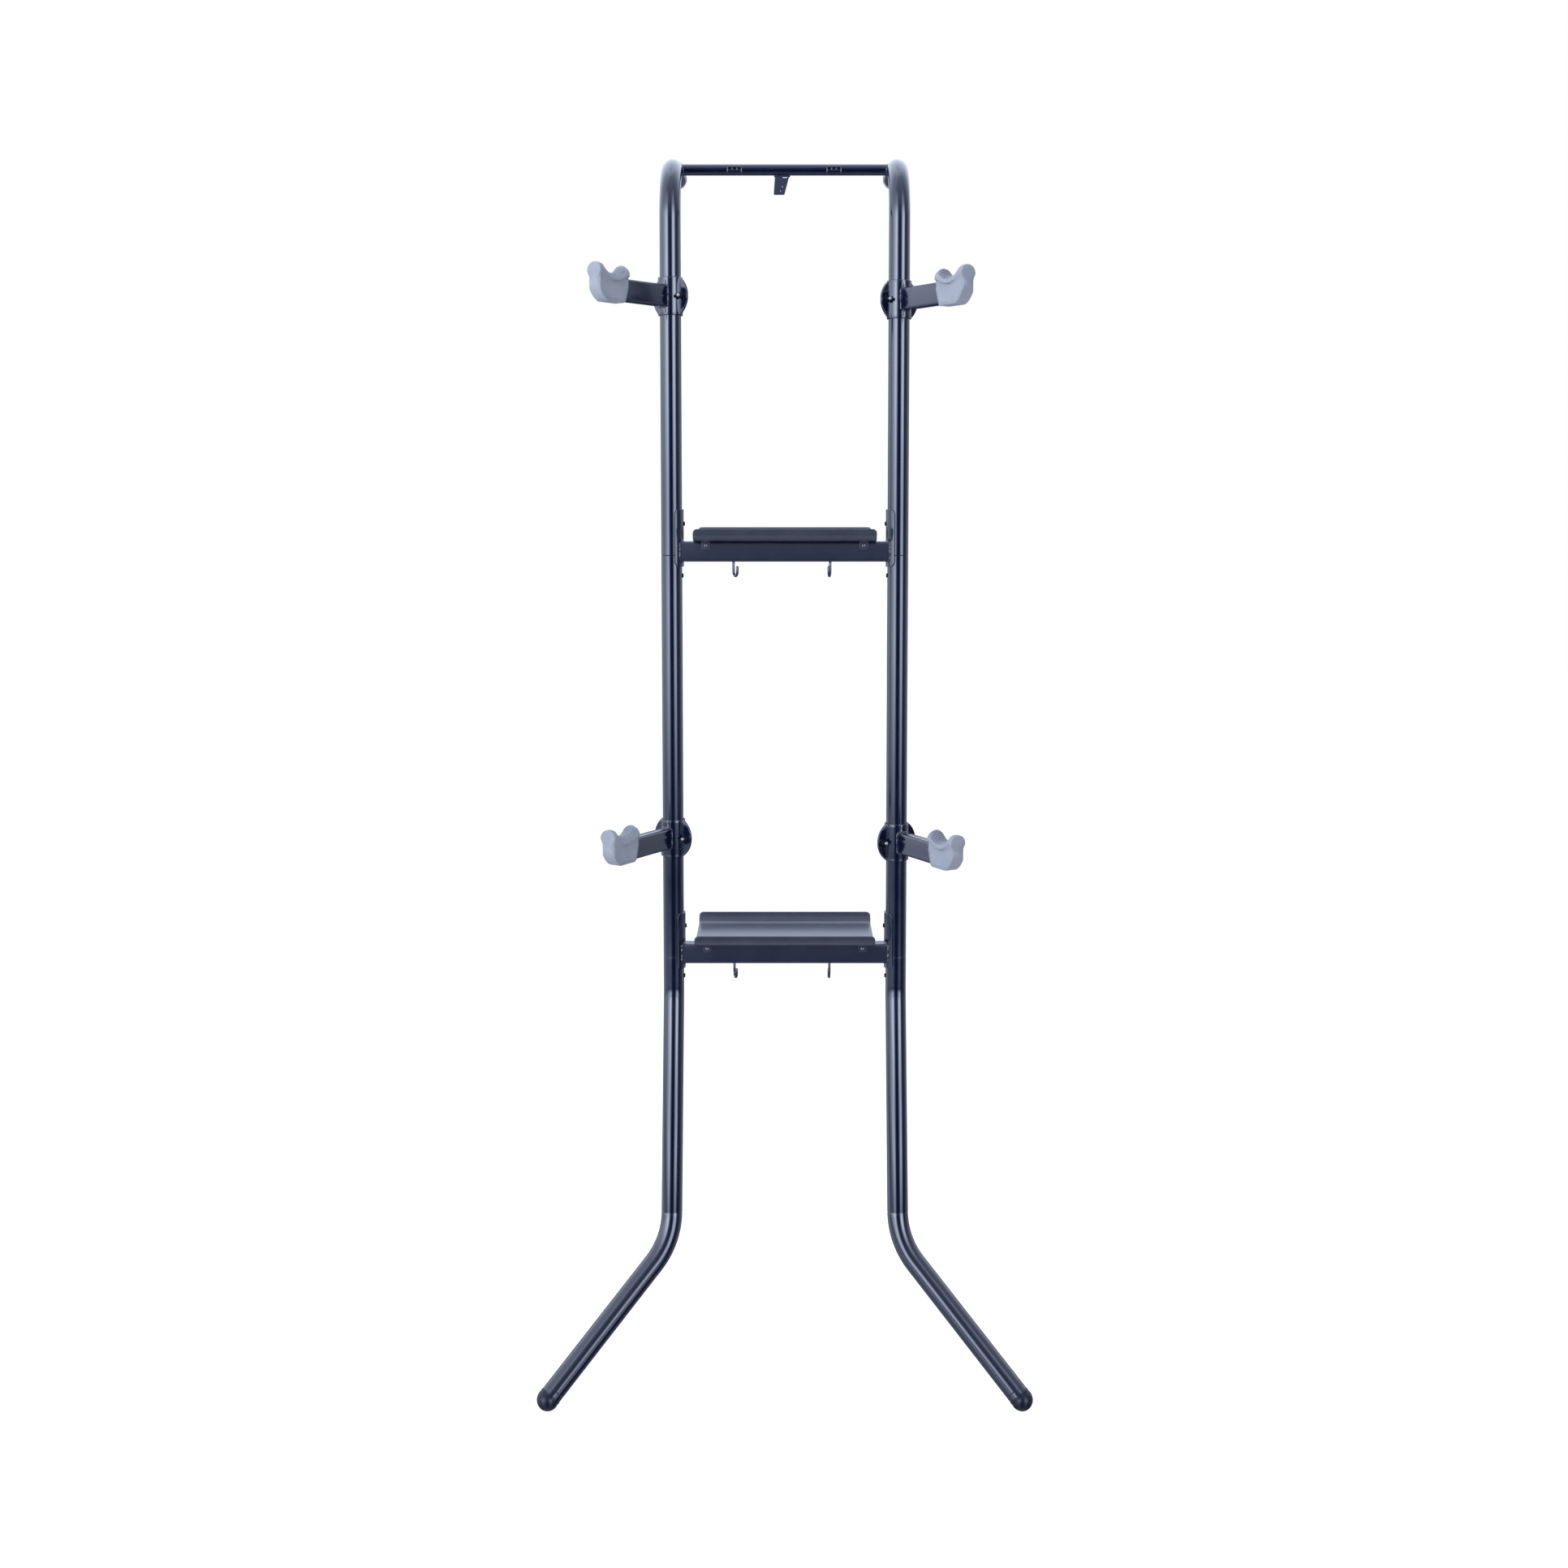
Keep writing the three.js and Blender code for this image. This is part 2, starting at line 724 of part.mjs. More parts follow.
function clampHalf(facing) {
  const half = clampHeight / 2;
  const shell = upright(circle(clampOuterRadius), -half, half);
  const reach = flangeGap / 2 + clampThickness;
  const flange = crosswise(circle(flangeRadius), -reach, reach);
  const near = (facing * flangeGap) / 2;
  const far = facing * (flangeRadius + cutOverrun);
  const halfSpace = box(
    Math.min(near, far),
    Math.max(near, far),
    -flangeRadius - cutOverrun,
    flangeRadius + cutOverrun,
    -half,
    half,
  );
  const bore = upright(circle(clampInnerRadius), -half - cutOverrun, half + cutOverrun);
  const holeReach = flangeGap + clampThickness + cutOverrun;
  const holes = [-clampBoltPlace, clampBoltPlace].map((y) =>
    crossRod(clampBoltRadius + fitGap, -holeReach, holeReach, y, 0),
  );
  return cutBy(joined(shell, flange).intersect(halfSpace), bore, ...holes);
}

function arm() {
  const inner = roundedRectangle(armThickness - 2 * armWall, armHeight - 2 * armWall, armCorner - armWall);
  const section = withHoles(roundedRectangle(armThickness, armHeight, armCorner), inner);
  const tube = crosswise(section, 0, cradleSocketEnd - fitGap, cornerCount);
  const rooted = upright(circle((clampInnerRadius + clampOuterRadius) / 2), -armHeight, armHeight);
  return joined(clampHalf(1), cutBy(tube, rooted));
}

function clampBolt() {
  const flangeFace = flangeGap / 2 + clampThickness + fitGap;
  const headBack = -flangeFace - clampHeadHeight;
  return joined(
    crossRod(clampNutRadius, headBack, -flangeFace, 0, 0, hexagonCount),
    crossRod(clampBoltRadius, headBack + clampHeadHeight / 2, clampBoltReach, 0, 0, wireRoundCount),
    crossRod(clampNutRadius, flangeFace, flangeFace + clampNutHeight, 0, 0, hexagonCount),
  );
}

// A place at a distance from the valley's centre, turned from straight down towards either end.
function beyondValley(sign, distance, spread) {
  const angle = radians(spread);
  const across = sign * distance * Math.sin(angle);
  return new THREE.Vector2(across, -distance * Math.cos(angle)).add(valleyCentre);
}

function cradleOutline() {
  const knobTurn = radians(knobSpread);
  const noseTurn = radians(noseSpread);
  const down = 1.5 * Math.PI;
  return new THREE.Shape()
    .absarc(knobCentre.x, knobCentre.y, knobRounding, Math.PI, Math.PI / 2 - knobTurn, true)
    .absarc(valleyCentre.x, valleyCentre.y, valleyRadius, down - knobTurn, down + noseTurn, false)
    .absarc(noseCentre.x, noseCentre.y, noseRounding, Math.PI / 2 + noseTurn, 0, true)
    .lineTo(cradleEnd, 0)
    .lineTo(cradleBottomEnd, -cradleBottomDrop)
    .lineTo(cradleBottomStart, -cradleBottomDrop)
    .quadraticCurveTo(cradleStart, -cradleBottomDrop, cradleStart, -cradleHeelDrop);
}

// The side of the cradle is cut back below its raised rim.
function cradleRecess(side) {
  const spread = radians(recessHalfSpread);
  const down = 1.5 * Math.PI;
  const bottom = -cradleBottomDrop - cutOverrun;
  const outline = new THREE.Shape()
    .moveTo(cradleStart - cutOverrun, bottom)
    .lineTo(cradleEnd + cutOverrun, bottom)
    .lineTo(cradleEnd + cutOverrun, recessEdgeHeight)
    .absarc(valleyCentre.x, valleyCentre.y, valleyRadius + recessDrop, down + spread, down - spread, true)
    .lineTo(cradleStart - cutOverrun, recessEdgeHeight);
  const near = (side * cradleBodyWidth) / 2;
  const far = side * (cradleWidth / 2 + cutOverrun);
  return lengthwise(outline, Math.min(near, far), Math.max(near, far), 2 * cornerCount);
}

function cradle() {
  const rounded = new THREE.ExtrudeGeometry(cradleOutline(), {
    depth: cradleWidth - 2 * cradleEdgeRounding,
    bevelEnabled: true,
    bevelThickness: cradleEdgeRounding,
    bevelSize: cradleEdgeInset,
    bevelOffset: -cradleEdgeInset,
    bevelSegments: cornerCount / 2,
    curveSegments: cornerCount,
  });
  const depthMiddle = cradleWidth / 2 - cradleEdgeRounding;
  const block = solidOf(rounded.translate(0, 0, -depthMiddle).applyMatrix4(shapeFacingFront));
  const socket = roundedRectangle(
    armThickness + 2 * fitGap,
    armHeight + 2 * fitGap,
    armCorner + fitGap,
  );
  return cutBy(
    block,
    cradleRecess(-1),
    cradleRecess(1),
    crosswise(socket, cradleStart - cutOverrun, cradleSocketEnd, cornerCount),
  );
}

// Assembly. Each side and tier is a group that holds its own pieces.
const rack = new THREE.Group();
const frame = new THREE.Group();
frame.position.y = standOffset;
rack.add(frame);

function addScrew(name, x, y, z, direction, headRadius, shankRadius, length) {
  const mesh = piece(name, screw(headRadius, shankRadius, length), "zinc");
  mesh.position.set(x, y, z);
  mesh.quaternion.setFromUnitVectors(up, direction);
  frame.add(mesh);
}

function addPostPieces(side, label) {
  const post = new THREE.Group();
  post.position.x = side * halfSpacing;
  frame.add(post);
  post.add(piece("upper_post_" + label, upperPost(-side), "coat"));
  post.add(piece("middle_post_" + label, middlePost(-side), "coat"));
  post.add(piece("leg_" + label, leg(side), "coat"));
  const cap = piece("foot_cap_" + label, footCap(), "cap");
  cap.position.copy(footCentre(side));
  cap.quaternion.setFromUnitVectors(up, footDirection(side));
  post.add(cap);
  const bumper = piece("wall_bumper_" + label, wallBumper(), "bumper");
  bumper.position.set(0, topRunReach + fitGap, topRunHeight);
  bumper.quaternion.setFromUnitVectors(up, back);
  post.add(bumper);
}

function addTier(label, height, leftHookTurn, rightHookTurn) {
  const tier = new THREE.Group();
  tier.position.z = height;
  frame.add(tier);
  tier.add(piece(label + "_crossbar", crossbar(), "coat"));
  tier.add(piece(label + "_tray", tray(), "coat"));
  const sides = [
    ["left", -1, hookLeftPlace, leftHookTurn],
    ["right", 1, hookRightPlace, rightHookTurn],
  ];
  sides.forEach(([side, sign, hookPlace, hookTurn]) => {
    const hook = piece(label + "_hook_" + side, hangingHook(), "coat");
    hook.position.x = hookPlace;
    hook.rotation.z = radians(hookTurn);
    tier.add(hook);
    const trayScrewY = -crossbarDepth / 2 - fitGap - trayThickness - fitGap;
    addScrew(
      label + "_tray_screw_" + side,
      sign * trayTabPlace,
      trayScrewY,
      height + trayScrewRaise,
      back.clone().negate(),
      screwHeadRadius,
      screwShankRadius,
      trayScrewLength,
    );
    const inward = right.clone().multiplyScalar(-sign);
    const boltX = sign * (halfSpacing - saddleOuterRadius - fitGap);
    const jointX = sign * (halfSpacing - tubeRadius - fitGap);
    const postScrew = [0, height + saddleBoltRaise, inward, postScrewHeadRadius, postScrewShankRadius];
    addScrew(label + "_saddle_bolt_" + side, boltX, ...postScrew, postScrewLength);
    const lowScrew = [0, height - jointScrewDrop, inward, postScrewHeadRadius, postScrewShankRadius];
    addScrew(label + "_joint_screw_" + side, jointX, ...lowScrew, postScrewLength);
  });
}

function addArm(label, side, height, turn) {
  const group = new THREE.Group();
  group.position.set(side * halfSpacing, 0, height);
  group.rotation.z = -Math.PI / 2 + side * radians(turn);
  frame.add(group);
  group.add(piece(label + "_arm", arm(), "coat"));
  group.add(piece(label + "_clamp_back", clampHalf(-1), "coat"));
  group.add(piece(label + "_clamp_liner", liner(), "sleeve"));
  group.add(piece(label + "_cradle", cradle(), "rubber"));
  [["outer", side], ["inner", -side]].forEach(([place, sign]) => {
    const bolt = piece(label + "_clamp_bolt_" + place, clampBolt(), "blackSteel");
    bolt.position.y = sign * clampBoltPlace;
    group.add(bolt);
  });
}

function addTopBarPieces() {
  frame.add(piece("top_bar", topBar(), "coat"));
  frame.add(piece("wall_tether_tab", tetherTab(), "coat"));
  const clipDepth = topBarBack - topBarRadius - fitGap - clipWireRadius;
  [["left", clipLeftPlace], ["right", clipRightPlace]].forEach(([label, x]) => {
    const clip = piece("hanging_clip_" + label, hangingClip(), "coat");
    clip.position.set(x, clipDepth, topBarHeight);
    frame.add(clip);
  });
}

addPostPieces(-1, "left");
addPostPieces(1, "right");
addTopBarPieces();
addTier("upper", upperCrossbarHeight, upperLeftHookTurn, upperRightHookTurn);
addTier("lower", lowerCrossbarHeight, lowerLeftHookTurn, lowerRightHookTurn);
addArm("upper_left", -1, upperLeftArmHeight, upperLeftArmTurn);
addArm("upper_right", 1, upperRightArmHeight, upperRightArmTurn);
addArm("lower_left", -1, lowerLeftArmHeight, lowerLeftArmTurn);
addArm("lower_right", 1, lowerRightArmHeight, lowerRightArmTurn);

export default rack;
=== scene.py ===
import json
import math

import bmesh
import bpy
from mathutils import Matrix, Quaternion, Vector, noise


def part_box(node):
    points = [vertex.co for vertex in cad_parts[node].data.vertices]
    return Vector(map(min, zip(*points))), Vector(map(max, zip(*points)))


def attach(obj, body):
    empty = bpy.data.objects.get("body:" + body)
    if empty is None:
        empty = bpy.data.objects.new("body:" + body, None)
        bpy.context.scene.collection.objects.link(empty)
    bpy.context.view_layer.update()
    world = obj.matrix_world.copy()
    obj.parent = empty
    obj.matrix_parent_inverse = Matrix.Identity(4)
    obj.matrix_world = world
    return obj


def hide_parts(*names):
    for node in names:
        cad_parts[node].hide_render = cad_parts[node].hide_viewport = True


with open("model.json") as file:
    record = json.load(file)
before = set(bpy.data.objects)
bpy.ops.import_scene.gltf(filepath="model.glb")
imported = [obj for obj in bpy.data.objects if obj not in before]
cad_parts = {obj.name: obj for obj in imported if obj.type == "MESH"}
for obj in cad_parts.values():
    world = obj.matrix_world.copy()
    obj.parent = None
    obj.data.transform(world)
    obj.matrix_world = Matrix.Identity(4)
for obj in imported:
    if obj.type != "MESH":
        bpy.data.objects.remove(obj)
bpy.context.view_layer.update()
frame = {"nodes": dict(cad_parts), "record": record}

# A bike rack with two bent posts, two trays and four padded arms. Metres, +Z up, the wall on the
# +Y side. The pieces below are the fine surfaces of the frame's nodes, each on its own body.

RIGHT = Vector((1, 0, 0))
BACK = Vector((0, 1, 0))
UP = Vector((0, 0, 1))
SIDES = {"left": -1, "right": 1}

# Clearances
FIT_GAP = 0.0003
FINE_ROUNDING = 0.0006
END_MARGIN = 2 * FINE_ROUNDING

# Posts, from the frame
post_low, post_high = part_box("middle_post_left")
upper_low, upper_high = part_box("upper_post_left")
POST_RADIUS = (post_high.x - post_low.x) / 2
HALF_SPACING = -(post_low.x + post_high.x) / 2
POST_Y = (post_low.y + post_high.y) / 2
RUN_HEIGHT = upper_high.z - POST_RADIUS
RUN_END = upper_high.y
UPPER_JOINT = upper_low.z
LOWER_JOINT = post_low.z
SPIGOT_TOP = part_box("leg_left")[1].z
SPIGOT_LENGTH = SPIGOT_TOP - LOWER_JOINT
TUBE_WALL = 0.0015
BORE_RADIUS = POST_RADIUS - TUBE_WALL
PLUG_RADIUS = BORE_RADIUS - FIT_GAP
RUN_BEND = 0.095

# Legs
KINK_DROP = 0.0658
KINK_BEND = 0.12
KNEE_FORWARD = 0.098
KNEE_HEIGHT = 0.235
KNEE_BEND = 0.125
FOOT_OUTWARD = 0.195
FOOT_FORWARD = 0.214
DIE_MARK_HEIGHT = 0.291
DIE_MARK_WIDTH = 0.0016
DIE_MARK_DEPTH = 0.00025

# Foot caps and wall bumpers
CAP_RADIUS = 0.018
CAP_SLEEVE = 0.017
CAP_COLLAR = 0.008
CAP_RIM = 0.003
PLUG_LENGTH = 0.02
BUMPER_RADIUS = 0.0186
BUMPER_THICKNESS = 0.008
BUMPER_ROUNDING = 0.003

# Top bar, tab and clips. The tab's ends are (left, right), its holes (place, drop from the top).
# A section is its width, height and corner radius.
BAR_RADIUS = 0.0095
BAR_Y = POST_Y + RUN_BEND
BAR_HEIGHT = RUN_HEIGHT + 0.0015
TAB_BOTTOM = (-0.0191, -0.0006)
TAB_TOP = (-0.017, 0.0078)
TAB_CORNER = 0.0015
TAB_HOLES = ((-0.004, 0.0185), (-0.0072, 0.0255))
TAB_HOLE_RADIUS = 0.0008
TAB_HOLE_LENGTH = 0.01
TAB_SLOT_SECTION = (0.0082, 0.0026, 0.001248)
TAB_SLOT_DROP = 0.0025
CLIP_WIRE = 0.0012
CLIP_WINDOW_WIRE = 0.00108
CLIP_WIDTH = 0.026
CLIP_HEIGHT = 0.008
CLIP_CORNER = 0.00264
CLIP_STRAIGHT = 0.0104
CLIP_PRONG_DROP = 0.004
CLIP_PRONG_BEND = 0.003

# Tiers, about each cross tube's middle
SADDLE_HEIGHT = 0.096
SADDLE_RAISE = 0.0225
SADDLE_THICKNESS = 0.0025
SADDLE_OUTER = POST_RADIUS + FIT_GAP + SADDLE_THICKNESS
SADDLE_CORNER = 0.009
SADDLE_HALF_SPREAD = math.radians(70)
SADDLE_BOLT_RAISE = 0.0465
JOINT_SCREW_DROP = 0.0405
CROSSBAR_HEIGHT = 0.034
CROSSBAR_DEPTH = 0.028
CROSSBAR_SECTION = (CROSSBAR_DEPTH, CROSSBAR_HEIGHT, 0.005)
CROSSBAR_WALL = 0.002

# Trays
TRAY_THICKNESS = 0.002
TRAY_BEND = 0.02
TRAY_FLARE = math.radians(12)
TRAY_CORNER = 0.007
TRAY_TAB_PLACE = 0.132
TRAY_TAB_WIDTH = 0.014
TRAY_TAB_HEIGHT = 0.014
TRAY_TAB_CORNER = 0.003

# Screws
TRAY_SCREW = {"head_radius": 0.003, "head": 0.0026, "shank_radius": 0.002, "length": 0.009}
POST_SCREW = {"head_radius": 0.0038, "head": 0.0019, "shank_radius": 0.003, "length": 0.013}
SCREW_SOCKET = 0.0014
SCREW_CROWN = 0.00182
HEAD_EDGE_SHARE = 0.25
SOCKET_FLOOR_SHARE = 0.35
THREAD_PITCH = 0.0008
THREAD_DEPTH = 0.0003

# Hooks, and how far each is turned, in degrees
HOOK_WIRE = 0.0022
HOOK_BEND = 0.008
HOOK_SHANK = 0.016
HOOK_TIP_RISE = 0.009
HOOK_HEAD_RADIUS = 0.0045
HOOK_HEAD_THICKNESS = 0.002
HOOK_TURNS = {"upper_left": 25, "upper_right": -10, "lower_left": 15, "lower_right": -5}

# Clamps, about the post's axis at the arm's height
SHELL_OUTER = 0.0206
CLAMP_THICKNESS = 0.002
CLAMP_CREASE = 0.0025
FLANGE_RADIUS = 0.0375
FLANGE_GAP = 0.0005
FLANGE_START = math.radians(6)
FLANGE_FINISH = math.radians(54)
BOLT_PLACE = 0.027
BOLT_RADIUS = 0.0025
BOLT_REACH = 0.0148
BALL_RADIUS = 0.0033
NUT_CORNER = 0.0057
NUT_HEIGHT = 0.005
NUT_MOUTH = 0.003125
NUT_FACE_SHARE = 0.97
NUT_SEAT_SHARE = 0.99
BOLT_HEAD_HEIGHT = 0.0035
WASHER_RADIUS = 0.0056
WASHER_THICKNESS = 0.0008

# Arms, and how far each is turned outward, in degrees
ARM_SECTION = (0.02, 0.036, 0.0045)
ARM_TURNS = {"upper_left": 38, "upper_right": 33, "lower_left": 32, "lower_right": 29.5}

# Cradles, about the arm's axis
CRADLE_HALF_WIDTH = 0.015
CRADLE_BODY = 0.0123
CRADLE_FACE = 0.0089
FACE_CHAMFER = 0.0032
CRADLE_BOTTOM = -0.0213
BOTTOM_CHAMFER = 0.0028
PANEL_FRAME = 0.0016
PANEL_EDGE = 0.0006
PANEL_DEPTH = 0.0009
CRADLE_SOCKET_DEPTH = 0.024
KNOB_ROUNDING = 0.006
KNOB_SPREAD = math.radians(55)
NOSE_ROUNDING = 0.0065
NOSE_SPREAD = math.radians(57)
NOSE_EDGE = 0.0022
VALLEY_CENTRE = Vector((0.147, 0.052))
VALLEY_RADIUS = 0.028
VALLEY_EDGE = 0.0155
KNOB_EDGE_RISE = 0.008
NOSE_EDGE_RISE = 0.011
HEEL_TOP = 0.012
HEEL_LENGTH = 0.0094
HEEL_POWER = 0.62
HEEL_REACH_SHARE = 1.03
BEVEL_LENGTH = 0.0225
BEVEL_POWER = 1.55
BEVEL_TOP = 0.005
BOTTOM_BLEND = 0.0025
RIM_BAND = 0.0031
RIM_LIP = 0.0007
RIM_CUT_SHARE = 0.3
RIM_FILLET = 0.0014
RIM_NOSE_FILLET = 0.0125
NOSE_BAND_SHARE = 0.25
NOSE_LIP_SHARE = 0.15
PAD_HALF_WIDTH = 0.0137
PAD_RECESS = 0.0014
PAD_EDGE = 0.0004
PAD_START_SHARE = 0.5
PAD_FINISH_SHARE = 0.45
RIB_PERIOD = 0.0037
RIB_HEIGHT = 0.0019
RIB_POWER = 1.1
PANEL_SHARES = (0.0, 0.3, 0.6, 0.9, 1.0)
FILLET_SHARES = (0.15, 0.3, 0.45, 0.6, 0.75, 0.88, 0.96, 1.0)
ARCH_SHARES = (
    1.0, 0.997, 0.988, 0.975, 0.96, 0.947, 0.938, 0.93, 0.922, 0.914, 0.905, 0.89, 0.86, 0.8, 0.72, 0.62,
    0.5, 0.38, 0.25, 0.12, 0.0,
)

# Welds. The shares are of the bead's radius.
WELD_STEP = 0.0008
RIPPLE_TURN = math.radians(45)
TAB_WELD_RADIUS = 0.0012
BAR_WELD_RADIUS = 0.0012
PLATE_WELD_RADIUS = 0.0019
ARM_WELD_RADIUS = 0.0017
RIPPLE_SHARE = 0.08
LUMP_SHARE = 0.38
GRIT_SHARE = 0.171
WANDER_SHARE = 0.35
LUMP_SCALE = 190
GRIT_SCALE = 430
TAB_BEAD_SHARE = 0.8
TAB_LUMP_SHARE = 0.5
TAB_LUMP_SCALE = 400

# Fineness of round surfaces
ROUND_COUNT = 64
BOLT_COUNT = 48
SMALL_COUNT = 32
WIRE_COUNT = 16
BEAD_COUNT = 10
CORNER_COUNT = 6
WIDE_CORNER_COUNT = 8
CLIP_CORNER_COUNT = 4
BALL_COUNT = 18
DOME_COUNT = 16
HEAD_COUNT = 9
CRADLE_COUNT = 250
CHAMFER_COUNT = 5
EDGE_COUNT = 4
BEND_STEP = math.radians(3)
WIRE_BEND_STEP = math.radians(9)

# Rows and columns of the plates
TAB_ROWS, TAB_COLUMNS = 12, 12
SADDLE_ROWS, SADDLE_COLUMNS = 8, 36
TRAY_FLOOR_ROWS, TRAY_BEND_ROWS, TRAY_COLUMNS = 8, 22, 40
TONGUE_ROWS, TONGUE_COLUMNS = 4, 8
FLANGE_ROWS, CLAMP_COLUMNS = 12, 14


def spread(start, end, count):
    return [start + (end - start) * i / (count - 1) for i in range(count)]


def turns(count):
    """Even angles round a full turn."""
    return [2 * math.pi * i / count for i in range(count)]


def quarter(count=CORNER_COUNT):
    """Even angles from 0 to a quarter turn."""
    return spread(0, math.pi / 2, count)


def smoothstep(value, low, high):
    share = min(max((value - low) / (high - low), 0), 1)
    return share * share * (3 - 2 * share)


def between(a, b, share):
    return a + (b - a) * share


def arc(u, v, radius, start, end, count):
    """Points on a circle about (u, v), between two angles in quarter turns."""
    angles = spread(start * math.pi / 2, end * math.pi / 2, count)
    return [(u + radius * math.cos(a), v + radius * math.sin(a)) for a in angles]


def circle(centre, first, second, radius, count):
    """Points round a circle in the plane of two directions."""
    return [centre + (first * math.cos(a) + second * math.sin(a)) * radius for a in turns(count)]


def chord(radius, offset):
    """Half the width of a circle at an offset from its middle."""
    return math.sqrt(max(radius ** 2 - offset ** 2, 0))


def drawn_in(distance, radius):
    """How far a round corner draws an edge in at a distance from the end."""
    return radius - chord(radius, radius - distance) if distance < radius else 0.0


def blended_max(a, b, blend):
    """The larger of two values, with a round transition."""
    share = max(blend - abs(a - b), 0) / blend
    return max(a, b) + blend * share * share / 4


def corner_starts(corner):
    """Rows through a round corner, from the end at 0."""
    return [corner * (1 - math.cos(a)) for a in quarter()]


def corner_finish(end, corner):
    """Rows through a round corner, up to the end."""
    return [end - corner * (1 - math.sin(a)) for a in quarter(WIDE_CORNER_COUNT)]


def even_rows(rows, reach, count):
    """A grid with a row at each v that runs from -reach(v) to reach(v)."""
    return [[(u, v) for u in spread(-reach(v), reach(v), count)] for v in rows]


def inset(outline, amount):
    """The points of a closed outline moved inward."""
    following = outline[1:] + outline[:1]
    area = sum(a[0] * b[1] - b[0] * a[1] for a, b in zip(outline, following))
    step = math.copysign(amount, area)
    moved = []
    for i, (u, v) in enumerate(outline):
        along = (Vector(following[i]) - Vector(outline[i - 1])).normalized()
        moved.append((u - step * along.y, v + step * along.x))
    return moved


class Surface:
    """Points and faces of one piece, made of closed shells."""

    def __init__(self):
        self.points = []
        self.faces = []

    def add(self, points):
        start = len(self.points)
        self.points.extend(points)
        return list(range(start, start + len(points)))

    def bridge(self, near, far):
        count = max(len(near), len(far))
        for i in range(count):
            j = (i + 1) % count
            corners = [near[i % len(near)], near[j % len(near)], far[j % len(far)], far[i % len(far)]]
            self.faces.append(list(dict.fromkeys(corners)))

    def skin(self, rings, closed=False):
        """A shell through rings of points. A ring of one point closes an end to a tip."""
        indices = [self.add(ring) for ring in rings]
        for near, far in zip(indices, indices[1:]):
            self.bridge(near, far)
        if closed:
            self.bridge(indices[-1], indices[0])
        else:
            self.faces += [end for end in (indices[0], indices[-1]) if len(end) > 2]
        return self

    def sheet(self, grid, thickness, rounding, place):
        """A plate over a grid of (u, v) with rounded edges, put in space by place(u, v, depth)."""
        rows = len(grid)
        columns = len(grid[0])
        border = [(0, j) for j in range(columns)]
        border += [(i, columns - 1) for i in range(1, rows)]
        border += [(rows - 1, j) for j in range(columns - 2, -1, -1)]
        border += [(i, 0) for i in range(rows - 2, 0, -1)]
        outline = [grid[i][j] for i, j in border]
        inner = dict(zip(border, inset(outline, rounding)))

        def face(depth):
            index = {}
            for i in range(rows):
                for j in range(columns):
                    u, v = inner.get((i, j), grid[i][j])
                    index[i, j] = self.add([place(u, v, depth)])[0]
            for i in range(rows - 1):
                for j in range(columns - 1):
                    self.faces.append([index[i, j], index[i, j + 1], index[i + 1, j + 1], index[i + 1, j]])
            return [index[key] for key in border]

        levels = arc(rounding, rounding, rounding, -1, -2, EDGE_COUNT)[1:]
        levels += [(amount, thickness - depth) for amount, depth in reversed(levels)]
        rings = [face(0)]
        for amount, depth in levels:
            rings.append(self.add([place(u, v, depth) for u, v in inset(outline, amount)]))
        rings.append(face(thickness))
        for near, far in zip(rings, rings[1:]):
            self.bridge(near, far)
        return self


class Path:
    """A centre line of straight runs and arcs that carries a sideways direction along it."""

    def __init__(self, start, direction, side):
        self.legs = []
        self.length = 0.0
        self.state = (start.copy(), direction.normalized(), side.normalized())

    def go(self, length, axis=None, radius=0.0):
        self.legs.append((self.length, length, self.state, axis, radius))
        self.length += length
        self.state = self.at(self.length)
        return self

    def turn(self, axis, radius, angle):
        return self.go(radius * angle, axis, radius)

    def at(self, distance):
        """The point, the direction and the sideways direction at a distance."""
        distance = min(max(distance, 0), self.length)
        leg = next((x for x in self.legs if distance <= x[0] + x[1]), self.legs[-1])
        start, _, (point, direction, side), axis, radius = leg
        along = distance - start
        if axis is None:
            return point + direction * along, direction, side
        centre = point + axis.cross(direction) * radius
        rotation = Quaternion(axis, along / radius)
        return centre + rotation @ (point - centre), rotation @ direction, rotation @ side

    def stations(self, step, low, high):
        """Distances at the ends of every run and at even steps along every arc."""
        found = []
        for start, length, _, axis, radius in self.legs:
            count = 1 if axis is None else max(2, math.ceil(length / radius / step))
            found += [start + length * i / count for i in range(count + 1)]
        return [low] + sorted({round(x, 7) for x in found if low < x < high}) + [high]


def path_through(corners, radii=()):
    """A path through corners that are rounded by arcs."""
    steps = [after - before for before, after in zip(corners, corners[1:])]
    path = Path(corners[0], steps[0], RIGHT)
    used = 0.0
    for radius, before, after in zip(radii, steps, steps[1:]):
        angle = before.angle(after)
        reach = radius * math.tan(angle / 2)
        path.go(before.length - used - reach)
        path.turn(before.cross(after).normalized(), radius, angle)
        used = reach
    return path.go(steps[-1].length - used)


def tube_rings(path, profile, count=ROUND_COUNT):
    """Rings of a round piece along a path. The profile is a list of (distance, radius)."""
    rings = []
    for distance, radius in profile:
        point, direction, side = path.at(distance)
        other = direction.cross(side)
        rings.append(circle(point, side, other, radius, count) if radius else [point])
    return rings


def turned_rings(profile, place, count=ROUND_COUNT):
    """Rings of a turned piece about +Z. A third value keeps the ring within a hexagon's flats."""
    sector = math.pi / 3
    rings = []
    for radius, height, *flats in profile:
        ring = []
        for angle in turns(count) if radius else [0.0]:
            reach = radius
            if flats:
                reach = min(radius, flats[0] / math.cos((angle + sector / 2) % sector - sector / 2))
            ring.append(place @ Vector((reach * math.cos(angle), reach * math.sin(angle), height)))
        rings.append(ring)
    return rings


def facing(place, direction):
    """A matrix that turns +Z to a direction and moves the origin to a place."""
    return Matrix.Translation(place) @ UP.rotation_difference(direction).to_matrix().to_4x4()


